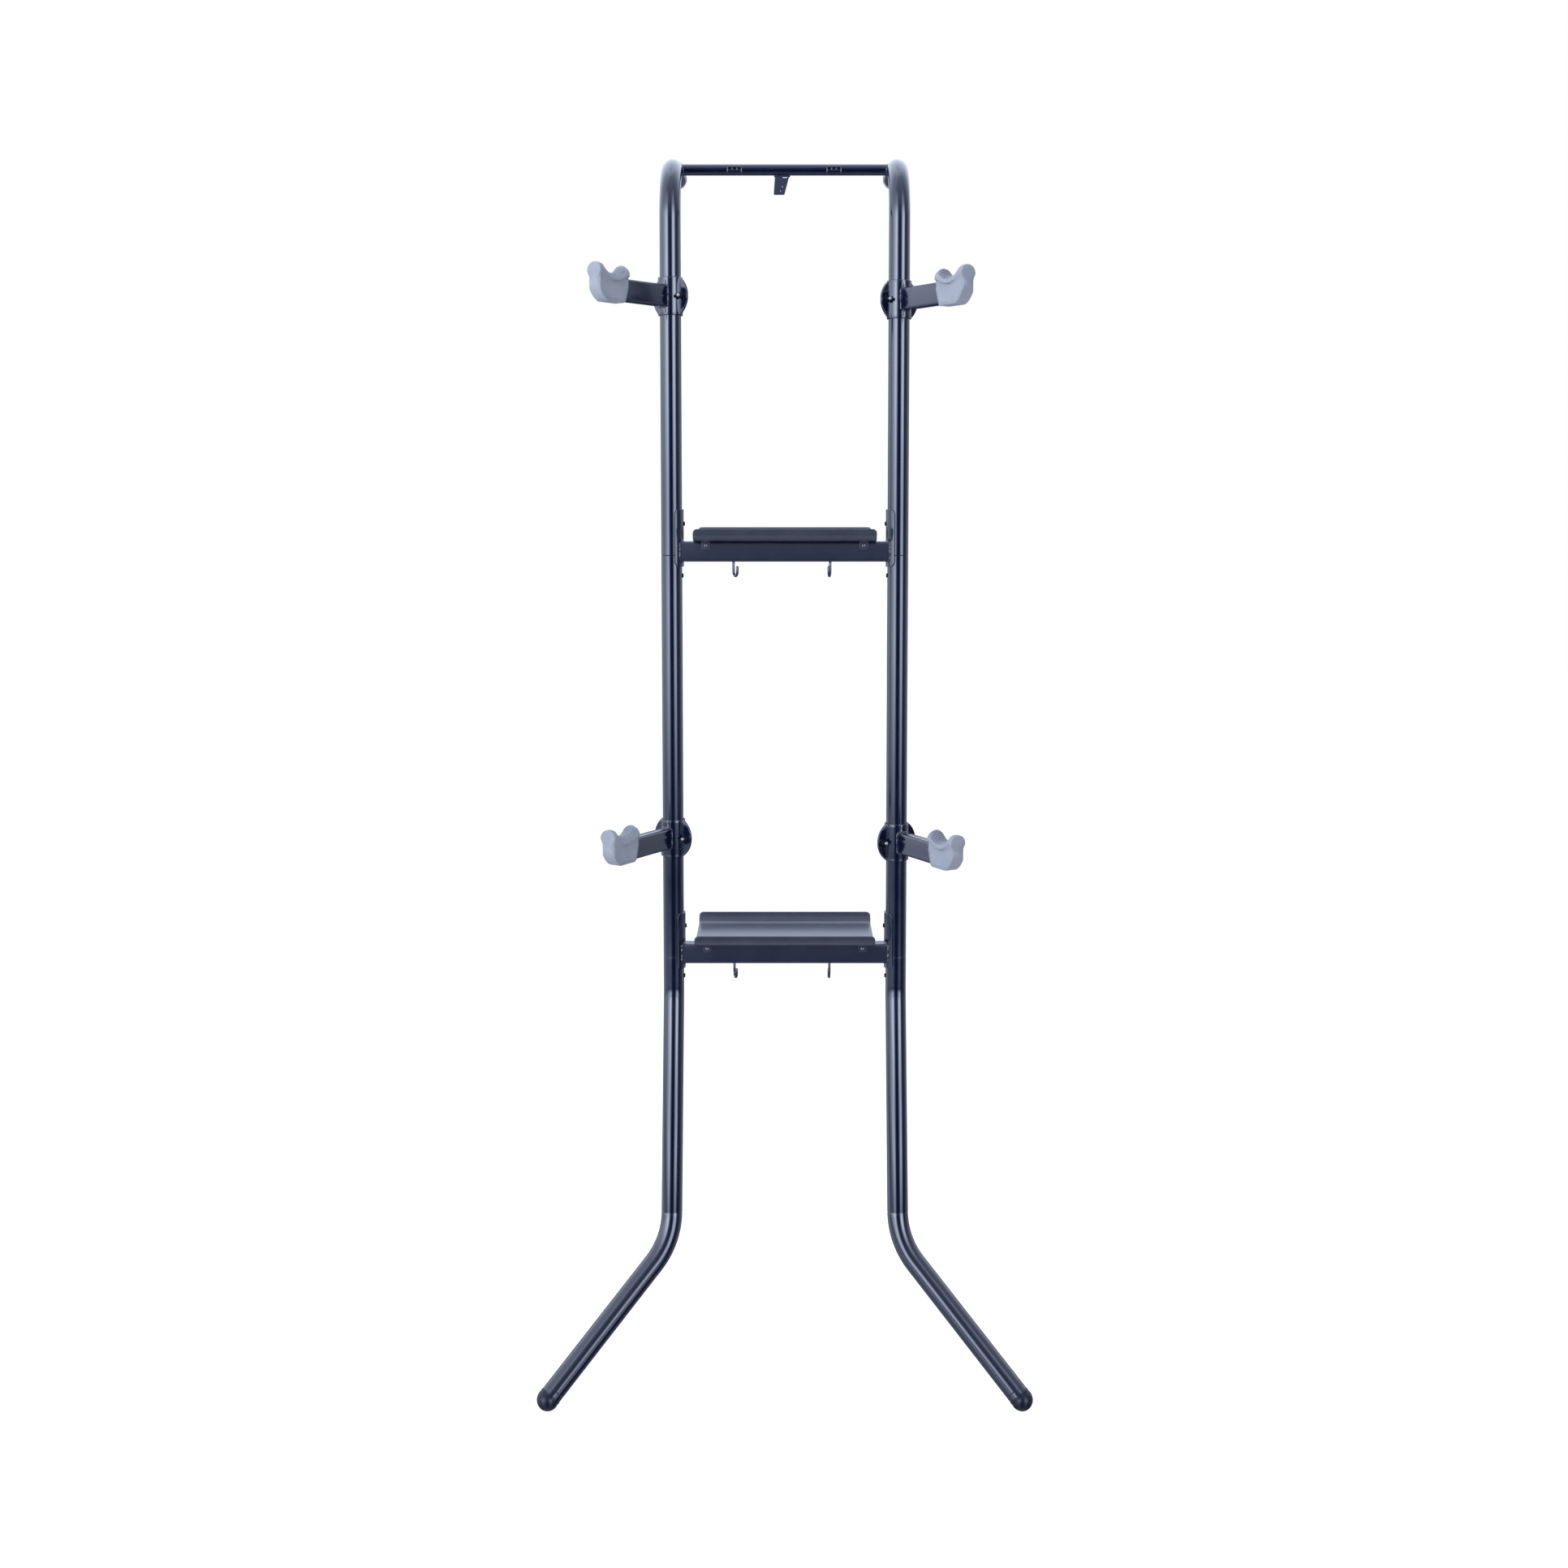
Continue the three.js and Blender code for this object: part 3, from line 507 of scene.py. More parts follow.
def turned(profile, place, direction, count=SMALL_COUNT):
    return Surface().skin(turned_rings(profile, facing(place, direction), count))


def disc(radius, low, high):
    return [(0, low), (radius, low), (radius, high), (0, high)]


def rounded_start(distance, radius):
    """Profile points that round the edge of an end at this distance, from its face to its side."""
    return arc(distance + FINE_ROUNDING, radius - FINE_ROUNDING, FINE_ROUNDING, 2, 1, EDGE_COUNT)


def rounded_finish(distance, radius):
    """The same for the far end, from its side to its face."""
    return arc(distance - FINE_ROUNDING, radius - FINE_ROUNDING, FINE_ROUNDING, 1, 0, EDGE_COUNT)


def rounded_section(width, height, corner, growth=0.0, steps=CORNER_COUNT):
    """The outline of a rounded rectangle, grown on every side, anticlockwise."""
    points = []
    for k, (x, y) in enumerate(((1, 1), (-1, 1), (-1, -1), (1, -1))):
        points += arc(x * (width / 2 - corner), y * (height / 2 - corner), corner + growth, k, k + 1, steps)
    return points


def even_loop(loop):
    """Points a weld's step apart along a closed loop."""
    count = len(loop)
    lengths = [(loop[(i + 1) % count] - loop[i]).length for i in range(count)]
    total = sum(lengths)
    steps = max(8, round(total / WELD_STEP))
    points = []
    leg = 0
    passed = 0.0
    for k in range(steps):
        target = total * k / steps
        while passed + lengths[leg] < target:
            passed += lengths[leg]
            leg += 1
        share = (target - passed) / lengths[leg]
        points.append(loop[leg].lerp(loop[(leg + 1) % count], share))
    return points


def weld(surface, outline, radius, seed):
    """Adds a bead along a closed outline, with the ripples of a hand-run weld."""
    loop = even_loop(outline)
    middle = sum(loop, Vector()) / len(loop)
    rings = []
    for i, point in enumerate(loop):
        along = (loop[(i + 1) % len(loop)] - loop[i - 1]).normalized()
        outward = point - middle
        outward = (outward - along * outward.dot(along)).normalized()
        other = along.cross(outward)
        ripple = 1 - RIPPLE_SHARE * (1 - abs(math.sin(i * RIPPLE_TURN)))
        lumps = LUMP_SHARE * noise.noise(point * LUMP_SCALE + Vector((seed, 0, 0)))
        swell = radius * (ripple + lumps + GRIT_SHARE * noise.noise(point * GRIT_SCALE))
        wander = WANDER_SHARE * noise.noise(point * LUMP_SCALE + Vector((0, seed, 0)))
        rings.append(circle(point + outward * radius * wander, outward, other, swell, BEAD_COUNT))
    surface.skin(rings, closed=True)


# Materials
class Nodes:
    """Short calls for building a node tree."""

    def __init__(self, tree):
        self.tree = tree
        self.tree.nodes.clear()

    def add(self, kind, inputs=None, **settings):
        node = self.tree.nodes.new(kind)
        for name, value in settings.items():
            setattr(node, name, value)
        for name, value in (inputs or {}).items():
            if isinstance(value, bpy.types.Node):
                value = value.outputs[0]
            if isinstance(value, bpy.types.NodeSocket):
                self.tree.links.new(value, node.inputs[name])
            else:
                node.inputs[name].default_value = value
        return node

    def noise(self, where, scale, detail, roughness):
        inputs = {"Vector": where, "Scale": scale, "Detail": detail, "Roughness": roughness}
        return self.add("ShaderNodeTexNoise", inputs).outputs["Fac"]

    def ramp(self, value, stops):
        node = self.add("ShaderNodeValToRGB", {"Fac": value})
        elements = node.color_ramp.elements
        while len(elements) < len(stops):
            elements.new(0.5)
        for element, (place, colour) in zip(elements, stops):
            element.position = place
            element.color = (*colour, 1)
        return node.outputs["Color"]

    def span(self, value, low, high, to_low=0.0, to_high=1.0):
        inputs = {"Value": value, "From Min": low, "From Max": high, "To Min": to_low, "To Max": to_high}
        return self.add("ShaderNodeMapRange", inputs).outputs["Result"]

    def math(self, operation, a, b=0.0):
        return self.add("ShaderNodeMath", {0: a, 1: b}, operation=operation).outputs[0]

    def mix(self, factor, first, second):
        return self.add("ShaderNodeMixShader", {0: factor, 1: first, 2: second})


# Scale, detail and roughness of the noises in every material, and the span of each that counts.
# A grain is its scale and height.
MOTTLE, MOTTLE_SPAN = (38, 5, 0.6), (0.35, 0.65)
SPECKS, SPECKS_SPAN = (900, 3, 0.7), (0.62, 0.8)
PATCHES, PATCHES_SPAN = (21, 4, 0.6), (0.45, 0.7)
UNEVEN, UNEVEN_SPAN = (14, 4, 0.65), (0.3, 0.7)
GRAIN_DETAIL = (3, 0.55)
# The span of ambient occlusion over which painted shade darkens the colour in creases.
CREASE_SHADE_SPAN = (0.45, 0.98)


def surface_material(name, colours, roughness, grain, wear=None, crease_shade=None, **fixed):
    """A surface with mottled colour, uneven gloss, a fine relief, optional wear and optional painted shade
    that darkens its creases.
    """
    made = bpy.data.materials.new(name)
    made.use_nodes = True
    nodes = Nodes(made.node_tree)
    where = nodes.add("ShaderNodeTexCoord").outputs["Object"]
    colour = nodes.ramp(nodes.noise(where, *MOTTLE), list(zip(MOTTLE_SPAN, colours)))
    if wear:
        specks = nodes.span(nodes.noise(where, *SPECKS), *SPECKS_SPAN)
        patches = nodes.span(nodes.noise(where, *PATCHES), *PATCHES_SPAN)
        inputs = {0: nodes.math("MULTIPLY", specks, patches), 6: colour, 7: (*wear, 1)}
        colour = nodes.add("ShaderNodeMix", inputs, data_type="RGBA").outputs[2]
    # Painted shade: where ambient occlusion finds surfaces close by, in creases, grooves and under rims, the
    # colour is darkened down to the darkest share.
    if crease_shade:
        depth, darkest_shade = crease_shade
        open_share = nodes.add("ShaderNodeAmbientOcclusion", {"Distance": depth}).outputs["AO"]
        light = nodes.span(open_share, *CREASE_SHADE_SPAN, darkest_shade)
        colour = nodes.add("ShaderNodeVectorMath", {0: colour, 3: light}, operation="SCALE")
    scale, height = grain
    relief = nodes.noise(where, scale, *GRAIN_DETAIL)
    inputs = {
        "Base Color": colour,
        "Roughness": nodes.span(nodes.noise(where, *UNEVEN), *UNEVEN_SPAN, *roughness),
        "Normal": nodes.add("ShaderNodeBump", {"Height": relief, "Strength": 1.0, "Distance": height}),
    }
    inputs.update((key.replace("_", " "), value) for key, value in fixed.items())
    nodes.add("ShaderNodeOutputMaterial", {"Surface": nodes.add("ShaderNodeBsdfPrincipled", inputs)})
    return made


LACQUER = {"Specular_IOR_Level": 1.0, "Coat_Weight": 1.0, "Coat_IOR": 1.5}
MATERIALS = {
    "powder_coat": surface_material(
        "navy_powder_coat", ((0.0022, 0.006, 0.03), (0.0038, 0.0088, 0.038)), (0.1, 0.16), (1100, 0.000008),
        wear=(0.03, 0.035, 0.055), Coat_Roughness=0.1, **LACQUER,
    ),
    # A copy of the navy coat for the crossbars, the tab and its welds: a rougher satin gloss, and a lighter
    # base colour that is painted light, lifting them as if lit.
    "satin_coat_lit_look": surface_material(
        "navy_coat_lit_satin_look", ((0.0085, 0.0155, 0.044), (0.012, 0.02, 0.053)), (0.3, 0.38), (1100, 0.00001),
        wear=(0.03, 0.035, 0.055), Coat_Roughness=0.3, **LACQUER,
    ),
    # A copy of the navy coat for the trays with a much lighter base colour, painted light that stands in for
    # their lit lips.
    "tray_coat_lit_look": surface_material(
        "navy_coat_lit_tray_look", ((0.034, 0.046, 0.08), (0.044, 0.057, 0.096)), (0.28, 0.36), (1100, 0.00001),
        wear=(0.06, 0.068, 0.09), Coat_Roughness=0.28, **LACQUER,
    ),
    # The grey rubber carries painted shade from ambient occlusion in its grooves and under its rim.
    "cradle_rubber": surface_material(
        "grey_rubber", ((0.32, 0.365, 0.47), (0.37, 0.415, 0.525)), (0.58, 0.72), (1500, 0.00005),
        wear=(0.45, 0.49, 0.6), crease_shade=(0.005, 0.62), Specular_IOR_Level=0.35,
    ),
    "bumper_rubber": surface_material(
        "pale_rubber", ((0.36, 0.4, 0.5), (0.42, 0.46, 0.57)), (0.4, 0.5), (1300, 0.00004),
        Specular_IOR_Level=0.45,
    ),
    "cap_plastic": surface_material(
        "black_plastic", ((0.006, 0.01, 0.026), (0.009, 0.014, 0.034)), (0.24, 0.34), (1600, 0.00002),
        wear=(0.05, 0.055, 0.065), Specular_IOR_Level=0.5,
    ),
    "sleeve_plastic": surface_material(
        "sleeve_plastic", ((0.02, 0.021, 0.027), (0.026, 0.028, 0.035)), (0.5, 0.6), (1200, 0.00002),
    ),
    "zinc_plate": surface_material(
        "zinc_plate", ((0.55, 0.57, 0.62), (0.66, 0.68, 0.72)), (0.22, 0.36), (2400, 0.000008), Metallic=1.0,
    ),
    "aged_zinc": surface_material(
        "aged_zinc", ((0.035, 0.04, 0.06), (0.07, 0.075, 0.1)), (0.3, 0.45), (2100, 0.00001),
        wear=(0.3, 0.31, 0.34), Metallic=0.8,
    ),
    "black_steel": surface_material(
        "black_steel", ((0.012, 0.013, 0.018), (0.02, 0.021, 0.027)), (0.28, 0.42), (1900, 0.00001),
        wear=(0.12, 0.125, 0.135), Metallic=0.6,
    ),
}


# Pieces
def linked(name, data):
    made = bpy.data.objects.new(name, data)
    bpy.context.collection.objects.link(made)
    return made


def mesh_object(name, surface, place=None):
    mesh = bpy.data.meshes.new(name)
    points = [place @ p for p in surface.points] if place else surface.points
    mesh.from_pydata(points, [], surface.faces)
    editable = bmesh.new()
    editable.from_mesh(mesh)
    bmesh.ops.recalc_face_normals(editable, faces=editable.faces)
    editable.to_mesh(mesh)
    editable.free()
    return linked(name, mesh)


def shade(made, smooth):
    """Smooths an object's faces, apart from edges that are sharper than an angle in degrees."""
    made.data.shade_smooth()
    made.data.set_sharp_from_angle(angle=math.radians(smooth))


def piece(node, surface, slot="powder_coat", body="rack_frame", name=None, look=None, place=None, smooth=40):
    """A visible object that rides on a body and stands for a CAD node."""
    made = mesh_object(name or f"{node}_surface", surface, place)
    shade(made, smooth)
    made.data.materials.append(MATERIALS[look or slot])
    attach(made, body)
    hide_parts(node)
    return made


def cut(made, shapes):
    """Cuts closed shapes out of an object and shades the result again."""
    tools = [mesh_object(f"cutter_{k}", shape) for k, shape in enumerate(shapes)]
    for tool in tools:
        modifier = made.modifiers.new(tool.name, "BOOLEAN")
        modifier.operation = "DIFFERENCE"
        modifier.solver = "EXACT"
        modifier.object = tool
    graph = bpy.context.evaluated_depsgraph_get()
    mesh = bpy.data.meshes.new_from_object(made.evaluated_get(graph))
    made.modifiers.clear()
    made.data = mesh
    shade(made, 40)
    for tool in tools:
        bpy.data.objects.remove(tool)


# Posts and legs
def plug_profile(shoulder):
    """The reduced end above a shoulder, from its tip to the full tube below."""
    tip = [(0, 0), *rounded_start(0, PLUG_RADIUS), (shoulder - TUBE_WALL, PLUG_RADIUS)]
    return tip + rounded_start(shoulder, POST_RADIUS)


def socket_profile(end):
    """An open end that takes a reduced end, from the outside to the bottom of its bore."""
    bottom = end - SPIGOT_LENGTH - TUBE_WALL
    return [*rounded_finish(end, POST_RADIUS), (end, BORE_RADIUS), (bottom, BORE_RADIUS), (bottom, 0)]


def plain(path, low, high):
    return [(d, POST_RADIUS) for d in path.stations(BEND_STEP, low, high)]


def upper_post(side):
    x = side * HALF_SPACING
    corners = [(x, RUN_END, RUN_HEIGHT), (x, POST_Y, RUN_HEIGHT), (x, POST_Y, UPPER_JOINT)]
    path = path_through([Vector(corner) for corner in corners], [RUN_BEND])
    profile = [(0, 0), *rounded_start(0, POST_RADIUS)]
    profile += plain(path, END_MARGIN, path.length - END_MARGIN)
    profile += socket_profile(path.length)
    return Surface().skin(tube_rings(path, profile))


def middle_post(side):
    top = UPPER_JOINT - FIT_GAP + SPIGOT_LENGTH
    path = path_through([Vector((side * HALF_SPACING, POST_Y, z)) for z in (top, LOWER_JOINT)])
    profile = plug_profile(SPIGOT_LENGTH)
    profile += plain(path, SPIGOT_LENGTH + END_MARGIN, path.length - END_MARGIN)
    profile += socket_profile(path.length)
    return Surface().skin(tube_rings(path, profile))


def foot(side):
    """The middle of a foot's dome, and the leg's direction there."""
    centre = Vector((side * (HALF_SPACING + FOOT_OUTWARD), POST_Y - FOOT_FORWARD, CAP_RADIUS))
    return centre, (centre - knee(side)).normalized()


def knee(side):
    return Vector((side * HALF_SPACING, POST_Y - KNEE_FORWARD, KNEE_HEIGHT))


def leg(side):
    x = side * HALF_SPACING
    centre, direction = foot(side)
    corners = [
        Vector((x, POST_Y, SPIGOT_TOP)),
        Vector((x, POST_Y, LOWER_JOINT - KINK_DROP)),
        knee(side),
        centre - direction * (CAP_SLEEVE + FIT_GAP),
    ]
    path = path_through(corners, [KINK_BEND, KNEE_BEND])
    shoulder = SPIGOT_LENGTH + FIT_GAP
    end = path.length
    mark = next(d for d in path.stations(BEND_STEP / 3, 0.0, end) if path.at(d)[0].z < DIE_MARK_HEIGHT)
    profile = plug_profile(shoulder)
    profile += plain(path, shoulder + END_MARGIN, mark - DIE_MARK_WIDTH)
    profile += [(mark + sign * DIE_MARK_WIDTH / 4, POST_RADIUS - DIE_MARK_DEPTH) for sign in (-1, 1)]
    profile += plain(path, mark + DIE_MARK_WIDTH, end - END_MARGIN)
    profile += [*rounded_finish(end, POST_RADIUS), (end, 0)]
    return Surface().skin(tube_rings(path, profile))


def plug(low, high):
    """The part of a cap inside its tube."""
    return [(0, low), (PLUG_RADIUS, low), (PLUG_RADIUS, high)]


def foot_cap(side):
    """A domed cap with a rim at its mouth and a plug inside the leg."""
    rim_end = CAP_RIM - CAP_COLLAR
    profile = [
        *plug(-CAP_SLEEVE - PLUG_LENGTH, -CAP_COLLAR),
        (CAP_RADIUS - FINE_ROUNDING, -CAP_COLLAR),
        (CAP_RADIUS, FINE_ROUNDING - CAP_COLLAR),
        (CAP_RADIUS, rim_end),
        (CAP_RADIUS - FINE_ROUNDING, rim_end + FINE_ROUNDING),
        (CAP_RADIUS - FINE_ROUNDING / 2, rim_end + 3 * FINE_ROUNDING),
        (CAP_RADIUS, 0),
        *arc(0, 0, CAP_RADIUS, 0, 1, DOME_COUNT)[1:-1],
        (0, CAP_RADIUS),
    ]
    return turned(profile, *foot(side), ROUND_COUNT)


def cap_collar(side):
    """The collar between a cap and its leg, flush with the leg."""
    high = -CAP_COLLAR - FIT_GAP
    profile = [
        (BORE_RADIUS, -CAP_SLEEVE),
        (POST_RADIUS - FIT_GAP, -CAP_SLEEVE),
        (POST_RADIUS, FIT_GAP - CAP_SLEEVE),
        (POST_RADIUS, high - FIT_GAP),
        (POST_RADIUS - FIT_GAP, high),
        (BORE_RADIUS, high),
    ]
    return Surface().skin(turned_rings(profile, facing(*foot(side))), closed=True)


def wall_bumper(side):
    edge = (BUMPER_RADIUS - BUMPER_ROUNDING, BUMPER_THICKNESS - BUMPER_ROUNDING, BUMPER_ROUNDING)
    profile = [
        *plug(-PLUG_LENGTH, 0),
        (BUMPER_RADIUS - FINE_ROUNDING, 0),
        (BUMPER_RADIUS, FINE_ROUNDING),
        *arc(*edge, 0, 1, CORNER_COUNT),
        (0, BUMPER_THICKNESS),
    ]
    return turned(profile, Vector((side * HALF_SPACING, RUN_END + FIT_GAP, RUN_HEIGHT)), BACK, ROUND_COUNT)


for label, side in SIDES.items():
    piece(f"upper_post_{label}", upper_post(side))
    piece(f"middle_post_{label}", middle_post(side))
    piece(f"leg_{label}", leg(side))
    piece(f"foot_cap_{label}", foot_cap(side), "cap_plastic")
    piece(f"wall_bumper_{label}", wall_bumper(side), "bumper_rubber")
    collar_name = f"foot_cap_{label}_collar"
    piece(f"foot_cap_{label}", cap_collar(side), "cap_plastic", name=collar_name, look="powder_coat")


# Top bar
def saddle_x(side, radius, offset):
    """Where a line along X meets a round tube at the side, seen from the middle."""
    return side * (HALF_SPACING - chord(radius, offset))


def bar_ring(side, radius, run_radius):
    """The line where a round bar of this radius meets the run at the side."""
    ring = []
    for y, z in arc(0, 0, radius, 0, 4, BOLT_COUNT + 1)[:-1]:
        x = saddle_x(side, run_radius, z + BAR_HEIGHT - RUN_HEIGHT)
        ring.append(Vector((x, BAR_Y + y, BAR_HEIGHT + z)))
    return ring


def top_bar():
    surface = Surface().skin([bar_ring(side, BAR_RADIUS, POST_RADIUS - FIT_GAP) for side in (-1, 1)])
    for side in (-1, 1):
        weld(surface, bar_ring(side, BAR_RADIUS + FIT_GAP, POST_RADIUS), BAR_WELD_RADIUS, side)
    return surface


piece("top_bar", top_bar())


def tether_tab():
    """A tapered plate that hangs from the bar, with a slot, two holes and a weld on either face."""
    node = "wall_tether_tab"
    low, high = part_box(node)
    bottom = Vector(TAB_BOTTOM)
    top = Vector(TAB_TOP)
    height = high.z - low.z
    grid = []
    for v in corner_starts(TAB_CORNER) + spread(TAB_CORNER, height, TAB_ROWS)[1:]:
        left, right = bottom.lerp(top, v / height)
        pull = drawn_in(v, TAB_CORNER)
        grid.append([(u, v) for u in spread(left + pull, right - pull, TAB_COLUMNS)])
    plate = Surface()
    plate.sheet(grid, high.y - low.y, FINE_ROUNDING, lambda u, v, d: Vector((u, low.y + d, low.z + v)))
    # The tab and its welds wear the lighter satin copy of the navy coat, partly painted light.
    tab = piece(node, plate, look="satin_coat_lit_look")
    beads = Surface()
    for y in (low.y, high.y):
        near = Vector((top[0] - TAB_WELD_RADIUS, y, high.z - TAB_WELD_RADIUS))
        far = Vector((top[1] + TAB_WELD_RADIUS, y, high.z - TAB_WELD_RADIUS))
        count = round((far - near).length / WELD_STEP)
        rings = []
        for i in range(count + 1):
            point = near.lerp(far, i / count)
            swell = TAB_BEAD_SHARE + TAB_LUMP_SHARE * abs(noise.noise(point * TAB_LUMP_SCALE))
            rings.append(circle(point, BACK, UP, TAB_WELD_RADIUS * swell, BEAD_COUNT))
        beads.skin(rings)
    piece(node, beads, name=f"{node}_welds", look="satin_coat_lit_look")
    slot_z = high.z - TAB_SLOT_DROP
    outline = rounded_section(*TAB_SLOT_SECTION)
    faces = (low.y - FINE_ROUNDING, high.y + FINE_ROUNDING)
    shapes = [Surface().skin([[Vector((x, y, slot_z + z)) for x, z in outline] for y in faces])]
    for x, drop in TAB_HOLES:
        middle = Vector((x, low.y - TAB_HOLE_RADIUS, high.z - drop))
        shapes.append(turned(disc(TAB_HOLE_RADIUS, 0, TAB_HOLE_LENGTH), middle, BACK))
    cut(tab, shapes)


tether_tab()


def wire(surface, corners, radius, bend=0.0):
    """Adds a bent wire with rounded ends to a surface."""
    path = path_through(corners, [bend] * (len(corners) - 2))
    start = [(0, 0), *arc(radius, 0, radius, 2, 1, EDGE_COUNT)[1:]]
    inside = path.stations(WIRE_BEND_STEP, radius, path.length - radius)[1:-1]
    profile = start + [(d, radius) for d in inside] + [(path.length - d, r) for d, r in reversed(start)]
    surface.skin(tube_rings(path, profile, WIRE_COUNT))


def hooked_wire(surface, origin, top, bottom, bend, rise, radius):
    """Adds a wire that runs down, forward through two bends, and up again."""
    front = -2 * bend
    corners = [(0, 0, top), (0, 0, bottom), (0, front, bottom), (0, front, bottom + bend + rise)]
    wire(surface, [origin + Vector(corner) for corner in corners], radius, bend)


def hanging_clip(label):
    """A flattened wire frame with three windows and a prong at each end."""
    node = f"hanging_clip_{label}"
    low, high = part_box(node)
    centre = Vector(((low.x + high.x) / 2, high.y - CLIP_WIRE, high.z - CLIP_HEIGHT / 2))
    rings = []
    for x, z in rounded_section(CLIP_WIDTH, CLIP_HEIGHT, CLIP_CORNER, -CLIP_WIRE, CLIP_CORNER_COUNT):
        flat = Vector((math.copysign(max(abs(x) - CLIP_STRAIGHT, 0), x), 0, z))
        outward = flat.normalized() if flat.length else UP
        rings.append(circle(centre + Vector((x, 0, z)), outward, BACK, CLIP_WIRE, WIRE_COUNT))
    surface = Surface().skin(rings, closed=True)
    window = (CLIP_WIDTH - 8 * CLIP_WIRE) / 3 + 2 * CLIP_WIRE
    half = CLIP_HEIGHT / 2 - CLIP_WIRE
    for sign in (-1, 1):
        ends = [centre + Vector((sign * window / 2, 0, z)) for z in (-half, half)]
        wire(surface, ends, CLIP_WINDOW_WIRE)
        origin = centre + Vector((sign * (CLIP_WIDTH / 2 - CLIP_WIRE), 0, 0))
        bottom = -CLIP_HEIGHT / 2 - CLIP_PRONG_DROP
        hooked_wire(surface, origin, 0, bottom, CLIP_PRONG_BEND, CLIP_PRONG_DROP, CLIP_WIRE)
    piece(node, surface)


for label in SIDES:
    hanging_clip(label)


# Tiers
def tier_height(tier):
    low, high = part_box(f"{tier}_crossbar")
    return (low.z + high.z) / 2 - SADDLE_RAISE


def hook_place(tier, label):
    """The upright axis of a hook, from its joint."""
    name = f"{tier}_{label}_hook_swivel"
    joint = next(j for j in frame["record"]["behaviour"]["joints"] if j["name"] == name)
    return Vector(joint["pos_m"])


def saddle_plate(surface, side, height):
    """Adds a plate with rounded corners that wraps a post on the side of the cross tube."""
    half = SADDLE_OUTER * SADDLE_HALF_SPREAD
    tall = SADDLE_HEIGHT / 2
    above = corner_finish(tall, SADDLE_CORNER)
    inner = spread(SADDLE_CORNER - tall, tall - SADDLE_CORNER, SADDLE_ROWS)[1:-1]
    rows = [-v for v in reversed(above)] + inner + above
    grid = even_rows(rows, lambda v: half - drawn_in(tall - abs(v), SADDLE_CORNER), SADDLE_COLUMNS)

    def place(u, v, depth):
        radius = SADDLE_OUTER - depth
        angle = u / SADDLE_OUTER
        x = side * (HALF_SPACING - radius * math.cos(angle))
        return Vector((x, POST_Y + radius * math.sin(angle), height + SADDLE_RAISE + v))

    surface.sheet(grid, SADDLE_THICKNESS, FINE_ROUNDING, place)


def crossbar(tier):
    """A rectangular tube with holes for its hooks, and the plates welded to its ends."""
    height = tier_height(tier)

    def ring(side, radius, growth):
        outline = rounded_section(*CROSSBAR_SECTION, growth)
        return [Vector((saddle_x(side, radius, y), POST_Y + y, height + z)) for y, z in outline]

    middle = SADDLE_OUTER - SADDLE_THICKNESS / 2
    ends = ((-1, -CROSSBAR_WALL), (-1, 0), (1, 0), (1, -CROSSBAR_WALL))
    tube = Surface().skin([ring(side, middle, growth) for side, growth in ends], closed=True)
    node = f"{tier}_crossbar"
    # The crossbar wears the lighter satin copy of the navy coat, partly painted light.
    bar = piece(node, tube, look="satin_coat_lit_look")
    holes = []
    for label in SIDES:
        hook = hook_place(tier, label)
        place = Vector((hook.x, hook.y, height - CROSSBAR_HEIGHT / 2 - CROSSBAR_WALL))
        holes.append(turned(disc(HOOK_WIRE + FIT_GAP, 0, 3 * CROSSBAR_WALL), place, UP))
    cut(bar, holes)
    plates = Surface()
    for side in (-1, 1):
        saddle_plate(plates, side, height)
        weld(plates, ring(side, SADDLE_OUTER, FIT_GAP), PLATE_WELD_RADIUS, side * 3 + height)
    piece(node, plates, name=f"{tier}_saddle_plates")


